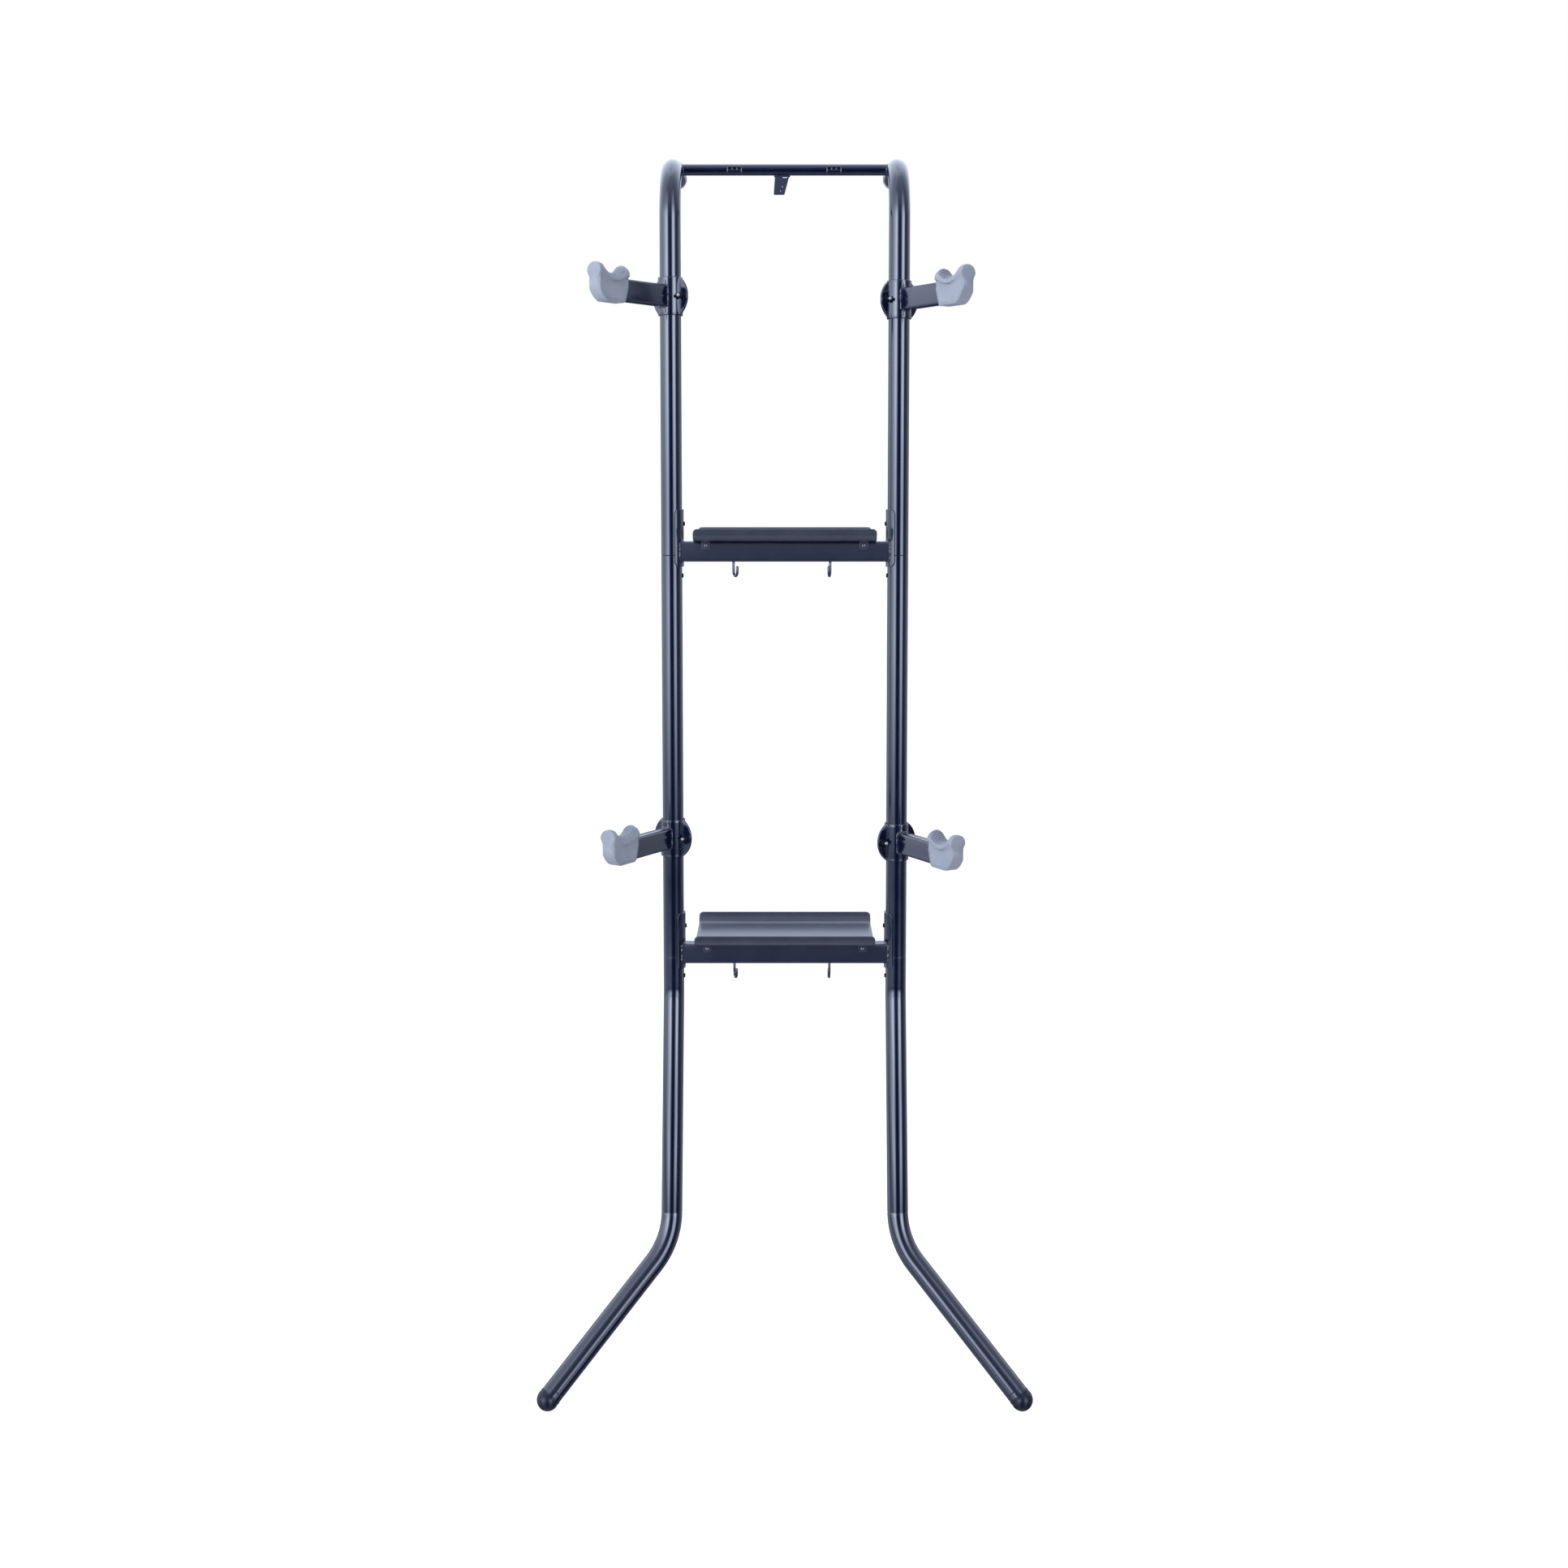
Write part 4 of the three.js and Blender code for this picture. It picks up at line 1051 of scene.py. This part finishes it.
def tray(tier):
    """A bent sheet with rounded corners, and two tongues that the screws hold to the cross tube."""
    node = f"{tier}_tray"
    low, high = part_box(node)
    base = tier_height(tier) + CROSSBAR_HEIGHT / 2 + FIT_GAP
    tray_y = (low.y + high.y) / 2
    fold = math.pi / 2 - TRAY_FLARE
    middle = TRAY_BEND - TRAY_THICKNESS / 2
    arc = middle * fold
    lip = (high.z - base - TRAY_BEND * (1 - math.cos(fold))) / math.sin(fold) - FIT_GAP
    flat = (high.y - low.y) / 2 - TRAY_BEND * math.sin(fold) - lip * math.cos(fold)
    reach = flat + arc + lip
    half = (high.x - low.x) / 2
    positive = spread(0, flat, TRAY_FLOOR_ROWS)[1:-1]
    positive += [v for v in spread(flat, flat + arc, TRAY_BEND_ROWS) if v < reach - TRAY_CORNER]
    positive += corner_finish(reach, TRAY_CORNER)
    rows = [-v for v in reversed(positive)] + [0.0] + positive
    grid = even_rows(rows, lambda v: half - drawn_in(reach - abs(v), TRAY_CORNER), TRAY_COLUMNS)

    def place(u, v, depth):
        along = abs(v)
        if along <= flat:
            return Vector((u, tray_y + v, base + depth))
        angle = min((along - flat) / middle, fold)
        beyond = max(along - flat - arc, 0)
        radius = TRAY_BEND - depth
        y = flat + radius * math.sin(angle) + beyond * math.cos(fold)
        z = TRAY_BEND - radius * math.cos(angle) + beyond * math.sin(fold)
        return Vector((u, tray_y + math.copysign(y, v), base + z))

    surface = Surface().sheet(grid, TRAY_THICKNESS, FINE_ROUNDING, place)
    front = POST_Y - CROSSBAR_DEPTH / 2 - FIT_GAP - TRAY_THICKNESS
    rows = corner_starts(TRAY_TAB_CORNER)
    rows += spread(TRAY_TAB_CORNER, TRAY_TAB_HEIGHT + TRAY_THICKNESS / 2, TONGUE_ROWS)[1:]
    tongue = even_rows(rows, lambda v: TRAY_TAB_WIDTH / 2 - drawn_in(v, TRAY_TAB_CORNER), TONGUE_COLUMNS)
    for x in (-TRAY_TAB_PLACE, TRAY_TAB_PLACE):
        surface.sheet(
            tongue, TRAY_THICKNESS, FINE_ROUNDING / 2,
            lambda u, v, d: Vector((x + u, front + d, base - TRAY_TAB_HEIGHT + v)),
        )
    # The tray wears the lighter copy of the navy coat, painted light on its lips.
    piece(node, surface, look="tray_coat_lit_look")


def thread(radius, low, high):
    """Grooves of a screw thread between two heights."""
    count = max(1, int((high - low) / THREAD_PITCH))
    profile = []
    for k in range(count):
        bottom = low + (high - low) * k / count
        profile += [(radius, bottom), (radius - THREAD_DEPTH, bottom + (high - low) / count / 2)]
    return profile + [(radius, high)]


def screw(node, place, direction, head_radius, head, shank_radius, length, look=None):
    """A domed screw with a hexagon socket, its head above the place and its shank below."""
    edge = HEAD_EDGE_SHARE * head
    bottom = SOCKET_FLOOR_SHARE * head
    corner = SCREW_SOCKET / math.cos(math.pi / 6)
    profile = [
        (0, -length),
        (shank_radius - THREAD_DEPTH, -length),
        *thread(shank_radius, THREAD_PITCH - length, -THREAD_PITCH),
        (shank_radius, 0),
        (head_radius - FINE_ROUNDING / 3, 0),
        (head_radius, FINE_ROUNDING / 3),
    ]
    for share in spread(0, 1, HEAD_COUNT):
        radius = between(head_radius, SCREW_CROWN, share ** 2)
        profile.append((radius, between(edge, head, math.sin(share * math.pi / 2))))
    profile += [(corner, head, SCREW_SOCKET), (corner, bottom, SCREW_SOCKET), (0, bottom)]
    piece(node, turned(profile, place, direction), "zinc_plate", look=look, smooth=30)


def tier_screws(tier, label, side):
    height = tier_height(tier)
    front = POST_Y - CROSSBAR_DEPTH / 2 - 2 * FIT_GAP - TRAY_THICKNESS
    raised = height + CROSSBAR_HEIGHT / 2 + FIT_GAP - TRAY_TAB_HEIGHT / 2
    screw(f"{tier}_tray_screw_{label}", Vector((side * TRAY_TAB_PLACE, front, raised)), -BACK, **TRAY_SCREW)
    for kind, radius, raise_by in (
        ("saddle_bolt", SADDLE_OUTER, SADDLE_BOLT_RAISE),
        ("joint_screw", POST_RADIUS, -JOINT_SCREW_DROP),
    ):
        place = Vector((side * (HALF_SPACING - radius - FIT_GAP), POST_Y, height + raise_by))
        screw(f"{tier}_{kind}_{label}", place, RIGHT * -side, **POST_SCREW, look="aged_zinc")


def hanging_hook(tier, label):
    """A bent wire hook with an upset head inside the cross tube."""
    axis = hook_place(tier, label)
    turn = Matrix.Rotation(math.radians(HOOK_TURNS[f"{tier}_{label}"]), 4, "Z")
    place = Matrix.Translation(Vector((axis.x, axis.y, 0))) @ turn
    bottom_wall = tier_height(tier) - CROSSBAR_HEIGHT / 2
    head_low = bottom_wall + CROSSBAR_WALL + FIT_GAP
    head_high = head_low + HOOK_HEAD_THICKNESS
    bottom = bottom_wall - HOOK_SHANK - HOOK_BEND
    surface = Surface()
    hooked_wire(surface, Vector(), head_high, bottom, HOOK_BEND, HOOK_TIP_RISE, HOOK_WIRE)
    head = [
        (0, head_low),
        (HOOK_HEAD_RADIUS, head_low),
        (HOOK_HEAD_RADIUS, head_low + HOOK_HEAD_THICKNESS / 2),
        (0, head_high),
    ]
    surface.skin(turned_rings(head, Matrix.Identity(4), SMALL_COUNT))
    piece(f"{tier}_hook_{label}", surface, body=f"{tier}_{label}_hook", place=place)


for tier in ("upper", "lower"):
    crossbar(tier)
    tray(tier)
    for label, side in SIDES.items():
        tier_screws(tier, label, side)
        hanging_hook(tier, label)


# Arms, each about its post's axis at the arm's height, with the arm along +X
def clamp_half(facing_sign):
    """A pressed half clamp: half a round shell with a flange at each side."""
    middle = SHELL_OUTER - CLAMP_THICKNESS / 2
    plane = FLANGE_GAP / 2 + CLAMP_THICKNESS / 2
    across = chord(middle + CLAMP_CREASE, plane + CLAMP_CREASE)
    turn = math.acos((plane + CLAMP_CREASE) / (middle + CLAMP_CREASE))
    flat = FLANGE_RADIUS - across
    path = Path(Vector((plane, -FLANGE_RADIUS, 0)), BACK, RIGHT).go(flat)
    path.turn(-UP, CLAMP_CREASE, turn).turn(UP, middle, 2 * turn).turn(-UP, CLAMP_CREASE, turn).go(flat)
    flange = [FLANGE_RADIUS * (1 - math.cos(a)) for a in spread(FLANGE_START, FLANGE_FINISH, FLANGE_ROWS)]
    flange = [v for v in flange if v < flat]
    rows = flange + path.stations(WIRE_BEND_STEP, flat, path.length - flat)
    rows += [path.length - v for v in reversed(flange)]
    limit = chord(FLANGE_RADIUS, SHELL_OUTER)
    grid = even_rows(rows, lambda v: min(limit, chord(FLANGE_RADIUS, path.at(v)[0].y)), CLAMP_COLUMNS)

    def place(u, v, depth):
        point, _, side = path.at(v)
        spot = point + side * (CLAMP_THICKNESS / 2 - depth)
        return Vector((facing_sign * spot.x, spot.y, u))

    return Surface().sheet(grid, CLAMP_THICKNESS, FINE_ROUNDING, place)


def clamp_with_arm():
    """The front clamp half, the rectangular tube shaped to it at its root, and the weld round it."""
    surface = clamp_half(1)
    rooted = SHELL_OUTER - CLAMP_THICKNESS / 2
    end = CRADLE_START + CRADLE_SOCKET_DEPTH - FIT_GAP
    outline = rounded_section(*ARM_SECTION, steps=WIDE_CORNER_COUNT)
    root = [Vector((chord(rooted, t), t, z)) for t, z in outline]
    surface.skin([root, [Vector((end, t, z)) for t, z in outline]])
    grown = rounded_section(*ARM_SECTION, FIT_GAP, WIDE_CORNER_COUNT)
    weld(surface, [Vector((chord(SHELL_OUTER, t), t, z)) for t, z in grown], ARM_WELD_RADIUS, seed=5)
    return surface


def bolt_ends():
    """A bolt's head behind the flanges along +X, and its washer and nut in front."""
    face = FLANGE_GAP / 2 + CLAMP_THICKNESS + FIT_GAP
    flats = NUT_CORNER * math.cos(math.pi / 6)
    slope = 2 * (NUT_CORNER - flats) * math.tan(math.pi / 6)
    head = face + BOLT_HEAD_HEIGHT
    low = face + WASHER_THICKNESS
    top = face + NUT_HEIGHT
    profiles = (
        [
            (0, -head),
            (flats * NUT_FACE_SHARE, -head, flats),
            (NUT_CORNER, slope - head, flats),
            (NUT_CORNER, -face, flats),
            (0, -face),
        ],
        disc(WASHER_RADIUS, face, low),
        [
            (0, low),
            (flats * NUT_SEAT_SHARE, low, flats),
            (NUT_CORNER, low + slope, flats),
            (NUT_CORNER, top - slope, flats),
            (flats * NUT_FACE_SHARE, top, flats),
            (NUT_MOUTH, top),
            (BOLT_RADIUS, top - FINE_ROUNDING),
            (0, top - FINE_ROUNDING),
        ],
    )
    surface = Surface()
    for profile in profiles:
        surface.skin(turned_rings(profile, facing(Vector(), RIGHT), BOLT_COUNT))
    return surface


def bolt_shank():
    """The threaded end of a bolt, up to its rounded tip."""
    tip = BOLT_REACH - BALL_RADIUS
    profile = [(0, -BOLT_RADIUS), (BOLT_RADIUS, -BOLT_RADIUS), *thread(BOLT_RADIUS, 0, tip), (0, tip)]
    return turned(profile, Vector(), RIGHT)


def bolt_tip():
    """The plated ball end of a bolt."""
    start = BOLT_REACH - BALL_RADIUS
    ball = arc(0, start, BALL_RADIUS, -2 / 3, 1, BALL_COUNT)[:-1]
    return turned([(0, ball[0][1]), *ball, (0, BOLT_REACH)], Vector(), RIGHT)


# Cradles
def beyond_valley(sign, distance, angle):
    return VALLEY_CENTRE + Vector((sign * math.sin(angle), -math.cos(angle))) * distance


KNOB_CENTRE = beyond_valley(-1, VALLEY_RADIUS + KNOB_ROUNDING, KNOB_SPREAD)
NOSE_CENTRE = beyond_valley(1, VALLEY_RADIUS + NOSE_ROUNDING, NOSE_SPREAD)
CRADLE_START = KNOB_CENTRE.x - KNOB_ROUNDING
CRADLE_END = NOSE_CENTRE.x + NOSE_ROUNDING


def cradle_crest():
    """The middle line along the top: a path in (place, height) that runs from knob to nose."""
    path = Path(Vector((CRADLE_START, KNOB_CENTRE.y, 0)), BACK, -RIGHT)
    path.turn(-UP, KNOB_ROUNDING, math.pi / 2 + KNOB_SPREAD)
    path.turn(UP, VALLEY_RADIUS, KNOB_SPREAD + NOSE_SPREAD)
    path.turn(-UP, NOSE_ROUNDING, NOSE_SPREAD)
    path.go(NOSE_ROUNDING - NOSE_EDGE)
    return path.turn(-UP, NOSE_EDGE, math.pi / 2)


def cradle_bottom(place):
    """The height of the underside: a slanted heel, a level bottom and a curved bevel to the face."""
    heel = max((place - CRADLE_START) / HEEL_LENGTH, 0)
    back_drop = between(HEEL_TOP, CRADLE_BOTTOM, HEEL_REACH_SHARE * heel ** HEEL_POWER)
    share = min(max((CRADLE_END - place) / BEVEL_LENGTH, 0), 1)
    depth = (1 - (1 - share) ** BEVEL_POWER) ** (1 / BEVEL_POWER)
    return blended_max(between(BEVEL_TOP, CRADLE_BOTTOM, depth), back_drop, BOTTOM_BLEND)


def rim_height(place):
    """The height of the rim's outer edge."""
    reach = (place - VALLEY_CENTRE.x) / VALLEY_RADIUS
    rise = KNOB_EDGE_RISE if reach < 0 else NOSE_EDGE_RISE
    return VALLEY_EDGE + rise * min(abs(reach), 1) ** 2


def rib_relief(path, distance):
    """The height of the grip pad's ribs against the smooth rim, along the crest."""
    start = path.legs[0][1] * PAD_START_SHARE
    end = path.legs[2][0] + path.legs[2][1] * PAD_FINISH_SHARE
    along = smoothstep(distance, start - PAD_EDGE, start + PAD_EDGE)
    along *= 1 - smoothstep(distance, end - PAD_EDGE, end + PAD_EDGE)
    wave = abs(math.sin(math.pi * (distance - start) / RIB_PERIOD)) ** RIB_POWER
    return along * (RIB_HEIGHT * wave - PAD_RECESS)


def cradle_ring(path, distance):
    """One ring of the cradle, as (t, height, place) from the bottom round both sides."""
    point, _, normal = path.at(distance)
    place = point.x
    from_start = place - CRADLE_START
    from_end = CRADLE_END - place
    edge = rim_height(place)
    bottom = cradle_bottom(place)
    nose_share = smoothstep(place, VALLEY_CENTRE.x, CRADLE_END)
    width = CRADLE_HALF_WIDTH - drawn_in(from_end, NOSE_EDGE) - drawn_in(from_start, NOSE_EDGE)
    body = between(CRADLE_BODY, CRADLE_FACE, max(1 - from_end / FACE_CHAMFER, 0))
    body -= drawn_in(from_start, CRADLE_HALF_WIDTH - CRADLE_BODY)

    # The bottom and its rounded chamfer
    side_low = bottom + BOTTOM_CHAMFER
    inner = body - BOTTOM_CHAMFER
    half = [(0.0, bottom), (inner / 2, bottom), *arc(inner, side_low, BOTTOM_CHAMFER, -1, 0, CHAMFER_COUNT)]

    # The recessed side panel inside its frame
    frame_width = FACE_CHAMFER + PANEL_FRAME
    panel = body - PANEL_DEPTH * min(
        smoothstep(from_end, frame_width, frame_width + PANEL_EDGE),
        smoothstep(from_start, PANEL_FRAME, PANEL_FRAME + PANEL_EDGE),
    )
    half += [(body, side_low), (body, side_low + PANEL_FRAME / 2)]
    under_rim = edge - RIM_BAND * between(1, NOSE_BAND_SHARE, nose_share)
    fillet = between(RIM_FILLET, RIM_NOSE_FILLET, nose_share)
    low = side_low + PANEL_FRAME / 2 + PANEL_EDGE
    high = under_rim - fillet
    half += [(panel, between(low, high, share)) for share in PANEL_SHARES]

    # The fillet out to the rim, round at the valley and a soft S at the nose
    bevel = RIM_LIP * between(1, NOSE_LIP_SHARE, nose_share)
    for share in FILLET_SHARES:
        angle = share * math.pi / 2
        out = between(1 - math.cos(angle), smoothstep(share, 0, 1), nose_share)
        climb = between(math.sin(angle), share, nose_share)
        half.append((between(panel, width - bevel, out), high + fillet * climb))
    cut_in = RIM_CUT_SHARE * bevel
    half += [(width - cut_in, under_rim + cut_in), (width, under_rim + bevel), (width, edge - bevel)]

    # The top, an arch from the rim's edge to the crest, with the ribs of the grip pad
    ring = [(t, z, place) for t, z in half]
    relief = rib_relief(path, distance)
    for share in ARCH_SHARES:
        t = width * share
        z = between(edge, point.y, chord(1, share))
        shift = relief * (1 - smoothstep(t, PAD_HALF_WIDTH - PAD_EDGE, PAD_HALF_WIDTH + PAD_EDGE))
        ring.append((t, z + normal.y * shift, place + normal.x * shift))
    return ring + [(-t, z, s) for t, z, s in ring[-2:0:-1]]


def cradle():
    path = cradle_crest()
    rings = [cradle_ring(path, distance) for distance in spread(0, path.length, CRADLE_COUNT)]
    return Surface().skin([[Vector((s, t, z)) for t, z, s in ring] for ring in rings])


for label, turn in ARM_TURNS.items():
    side = SIDES[label.split("_")[1]]
    low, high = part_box(f"{label}_clamp_liner")
    centre = Vector((side * HALF_SPACING, POST_Y, (low.z + high.z) / 2))
    place = Matrix.Translation(centre) @ Matrix.Rotation(-math.pi / 2 + side * math.radians(turn), 4, "Z")
    unit = f"{label}_arm_unit"
    piece(f"{label}_arm", clamp_with_arm(), body=unit, place=place)
    piece(f"{label}_clamp_back", clamp_half(-1), body=unit, place=place)
    piece(f"{label}_cradle", cradle(), "cradle_rubber", unit, place=place, smooth=50)
    for where, sign in (("outer", side), ("inner", -side)):
        node = f"{label}_clamp_bolt_{where}"
        at_bolt = place @ Matrix.Translation(Vector((0, sign * BOLT_PLACE, 0)))
        for part, surface, slot, smooth in (
            ("nut", bolt_ends(), "black_steel", 25),
            ("shank", bolt_shank(), "black_steel", 30),
            ("tip", bolt_tip(), "zinc_plate", 60),
        ):
            piece(node, surface, slot, unit, name=f"{node}_{part}", place=at_bolt, smooth=smooth)
    liner = frame["nodes"][f"{label}_clamp_liner"]
    liner.data.materials.clear()
    liner.data.materials.append(MATERIALS["sleeve_plastic"])


# Floor
FLOOR_SIZE = 24.0
FLOOR_GREY = 0.5
FLOOR_GLOW = 0.35
FLOOR_CAMERA_GLOW = 0.5


def floor():
    """A pale floor that looks white to the camera, keeps a soft shadow and doesn't show in gloss."""
    mesh = bpy.data.meshes.new("floor")
    corners = [(x * FLOOR_SIZE / 2, y * FLOOR_SIZE / 2, 0) for x, y in ((-1, -1), (1, -1), (1, 1), (-1, 1))]
    mesh.from_pydata(corners, [], [(0, 1, 2, 3)])
    made = linked("floor", mesh)
    material = bpy.data.materials.new("pale_floor")
    material.use_nodes = True
    nodes = Nodes(material.node_tree)
    ray = nodes.add("ShaderNodeLightPath").outputs
    glow = nodes.math("ADD", nodes.math("MULTIPLY", ray["Is Camera Ray"], FLOOR_CAMERA_GLOW), FLOOR_GLOW)
    diffuse = nodes.add("ShaderNodeBsdfDiffuse", {"Color": (FLOOR_GREY, FLOOR_GREY, FLOOR_GREY, 1)})
    shine = nodes.add("ShaderNodeEmission", {"Color": (1, 1, 1, 1), "Strength": glow})
    bright = nodes.add("ShaderNodeAddShader", {0: diffuse, 1: shine})
    mixed = nodes.mix(ray["Is Glossy Ray"], bright, nodes.add("ShaderNodeBsdfTransparent"))
    nodes.add("ShaderNodeOutputMaterial", {"Surface": mixed})
    made.data.materials.append(material)


# Brightness of the studio in reflections, by direction in degrees. Around, 0 faces the camera's
# side, -90 is to the left and 180 is the wall. In height, 0 is level and 90 is straight up.
PANEL_SCALE = 6.0
PANEL_STOPS = (
    (-180, 0.0), (-128, 0.1), (-97, 0.9), (-74, 1.3), (-60, 2.6), (-48, 4.0), (-34, 5.8), (-27, 4.2),
    (-19, 1.0), (-12, 0.05), (0, 0.0), (15, 0.0), (23, 1.5), (31, 4.8), (46, 5.4), (53, 2.4), (60, 0.3),
    (68, 0.05), (97, 0.2), (128, 0.2), (180, 0.0),
)
PANEL_HEIGHT_STOPS = (
    (-90, 0.0), (-45, 0.1), (-25, 0.2), (-19, 0.28), (-17, 0.34), (-15, 0.1), (-13, 0.0), (-11.5, 0.0),
    (-9.5, 0.22), (-4, 0.75), (0, 0.55), (4, 0.95), (8, 1.0), (16, 0.8), (30, 0.3), (55, 0.0), (90, 0.0),
)
GLOW_STOPS = (
    (-180, 0.03), (-155, 0.15), (-128, 0.85), (-97, 0.5), (-74, 0.45), (-53, 0.2), (-35, 0.02), (0, 0.0),
    (62, 0.0), (74, 0.04), (97, 0.22), (128, 0.6), (155, 0.15), (180, 0.03),
)
GLOW_HEIGHT_STOPS = ((-90, 0.0), (-62, 0.03), (-45, 0.5), (-20, 0.9), (0, 1.0), (90, 1.0))
WALL_STOPS = (
    (-180, 1.0), (-150, 1.0), (-125, 0.2), (-100, 0.0), (100, 0.0), (125, 0.2), (150, 1.0), (180, 1.0),
)
WALL_HEIGHT_STOPS = ((-90, 0.0), (6, 0.0), (11, 0.5), (15, 1.0), (60, 1.0), (90, 0.3))
CEILING_STOPS = (
    (-90, 0.35), (-68, 0.3), (-58, 0.04), (-40, 0.0), (5, 0.0), (22, 0.22), (40, 0.45), (60, 0.6), (90, 0.9),
)
GLOSS_TINT = (0.73, 0.82, 1.0, 1)
EVEN_TINT = (0.93, 0.96, 1.0, 1)
EVEN_STRENGTH = 0.47


def studio():
    """White to the camera, an even pale light on matt surfaces, and soft panels in the gloss."""
    world = bpy.data.worlds.new("studio")
    bpy.context.scene.world = world
    world.use_nodes = True
    nodes = Nodes(world.node_tree)
    ray = nodes.add("ShaderNodeLightPath").outputs
    where = nodes.add("ShaderNodeTexCoord").outputs["Generated"]
    parts = nodes.add("ShaderNodeSeparateXYZ", {0: where}).outputs
    azimuth = nodes.math("ARCTAN2", parts["X"], nodes.math("MULTIPLY", parts["Y"], -1.0))
    around = nodes.span(azimuth, -math.pi, math.pi)
    upward = nodes.span(nodes.math("ARCSINE", parts["Z"]), -math.pi / 2, math.pi / 2)

    def brightness(stops, height_stops, scale=1.0):
        """The product of a ramp around and a ramp in height. A ramp's values stay within 1."""
        by_azimuth = nodes.ramp(around, [((a + 180) / 360, [v / scale] * 3) for a, v in stops])
        return nodes.math("MULTIPLY", by_azimuth, by_height(height_stops))

    def by_height(stops):
        return nodes.ramp(upward, [((a + 90) / 180, [v] * 3) for a, v in stops])

    def background(tint, strength):
        return nodes.add("ShaderNodeBackground", {"Color": tint, "Strength": strength})

    panels = brightness(PANEL_STOPS, PANEL_HEIGHT_STOPS, PANEL_SCALE)
    panels = nodes.math("MULTIPLY", panels, PANEL_SCALE)
    front = nodes.math("ADD", panels, brightness(GLOW_STOPS, GLOW_HEIGHT_STOPS))
    behind = nodes.math("ADD", brightness(WALL_STOPS, WALL_HEIGHT_STOPS), by_height(CEILING_STOPS))
    gloss = background(GLOSS_TINT, nodes.math("ADD", front, behind))
    first = nodes.mix(ray["Is Glossy Ray"], background(EVEN_TINT, EVEN_STRENGTH), gloss)
    last = nodes.mix(ray["Is Camera Ray"], first, background((1, 1, 1, 1), 1.0))
    nodes.add("ShaderNodeOutputWorld", {"Surface": last})


# Lamps: name, place, target, size and power in watts
LAMPS = (
    ("key", (-2.6, -2.4, 2.9), (0, 0, 1.2), 2.2, 95),
    ("fill", (2.6, -2.6, 2.0), (0, 0, 1.0), 2.2, 8),
    ("above", (0.0, -0.6, 4.4), (0, 0, 1.2), 2.6, 28),
)


def lamps():
    for name, place, target, size, power in LAMPS:
        data = bpy.data.lights.new(name, "AREA")
        data.shape = "SQUARE"
        data.size = size
        data.energy = power
        lamp = linked(name, data)
        lamp.location = place
        lamp.rotation_euler = (Vector(target) - Vector(place)).to_track_quat("-Z", "Y").to_euler()
        lamp.visible_glossy = False


# Camera. The focal length and the principal point are in pixels of the photograph.
IMAGE_SIZE = 1932
FOCAL_PIXELS = 2198
PRINCIPAL_X = 967
PRINCIPAL_Y = 795.8
SENSOR_WIDTH = 36.0
CAMERA_PLACE = (0, -2.975, 1.478)
CAMERA_TILT = math.radians(90 - 4.75)


def camera():
    data = bpy.data.cameras.new("camera")
    data.sensor_width = SENSOR_WIDTH
    data.lens = FOCAL_PIXELS / IMAGE_SIZE * SENSOR_WIDTH
    data.shift_x = (IMAGE_SIZE / 2 - PRINCIPAL_X) / IMAGE_SIZE
    data.shift_y = (PRINCIPAL_Y - IMAGE_SIZE / 2) / IMAGE_SIZE
    made = linked("camera", data)
    made.location = CAMERA_PLACE
    made.rotation_euler = (CAMERA_TILT, 0, 0)
    bpy.context.scene.camera = made


floor()
studio()
lamps()
camera()
bpy.context.scene.view_settings.view_transform = "Standard"
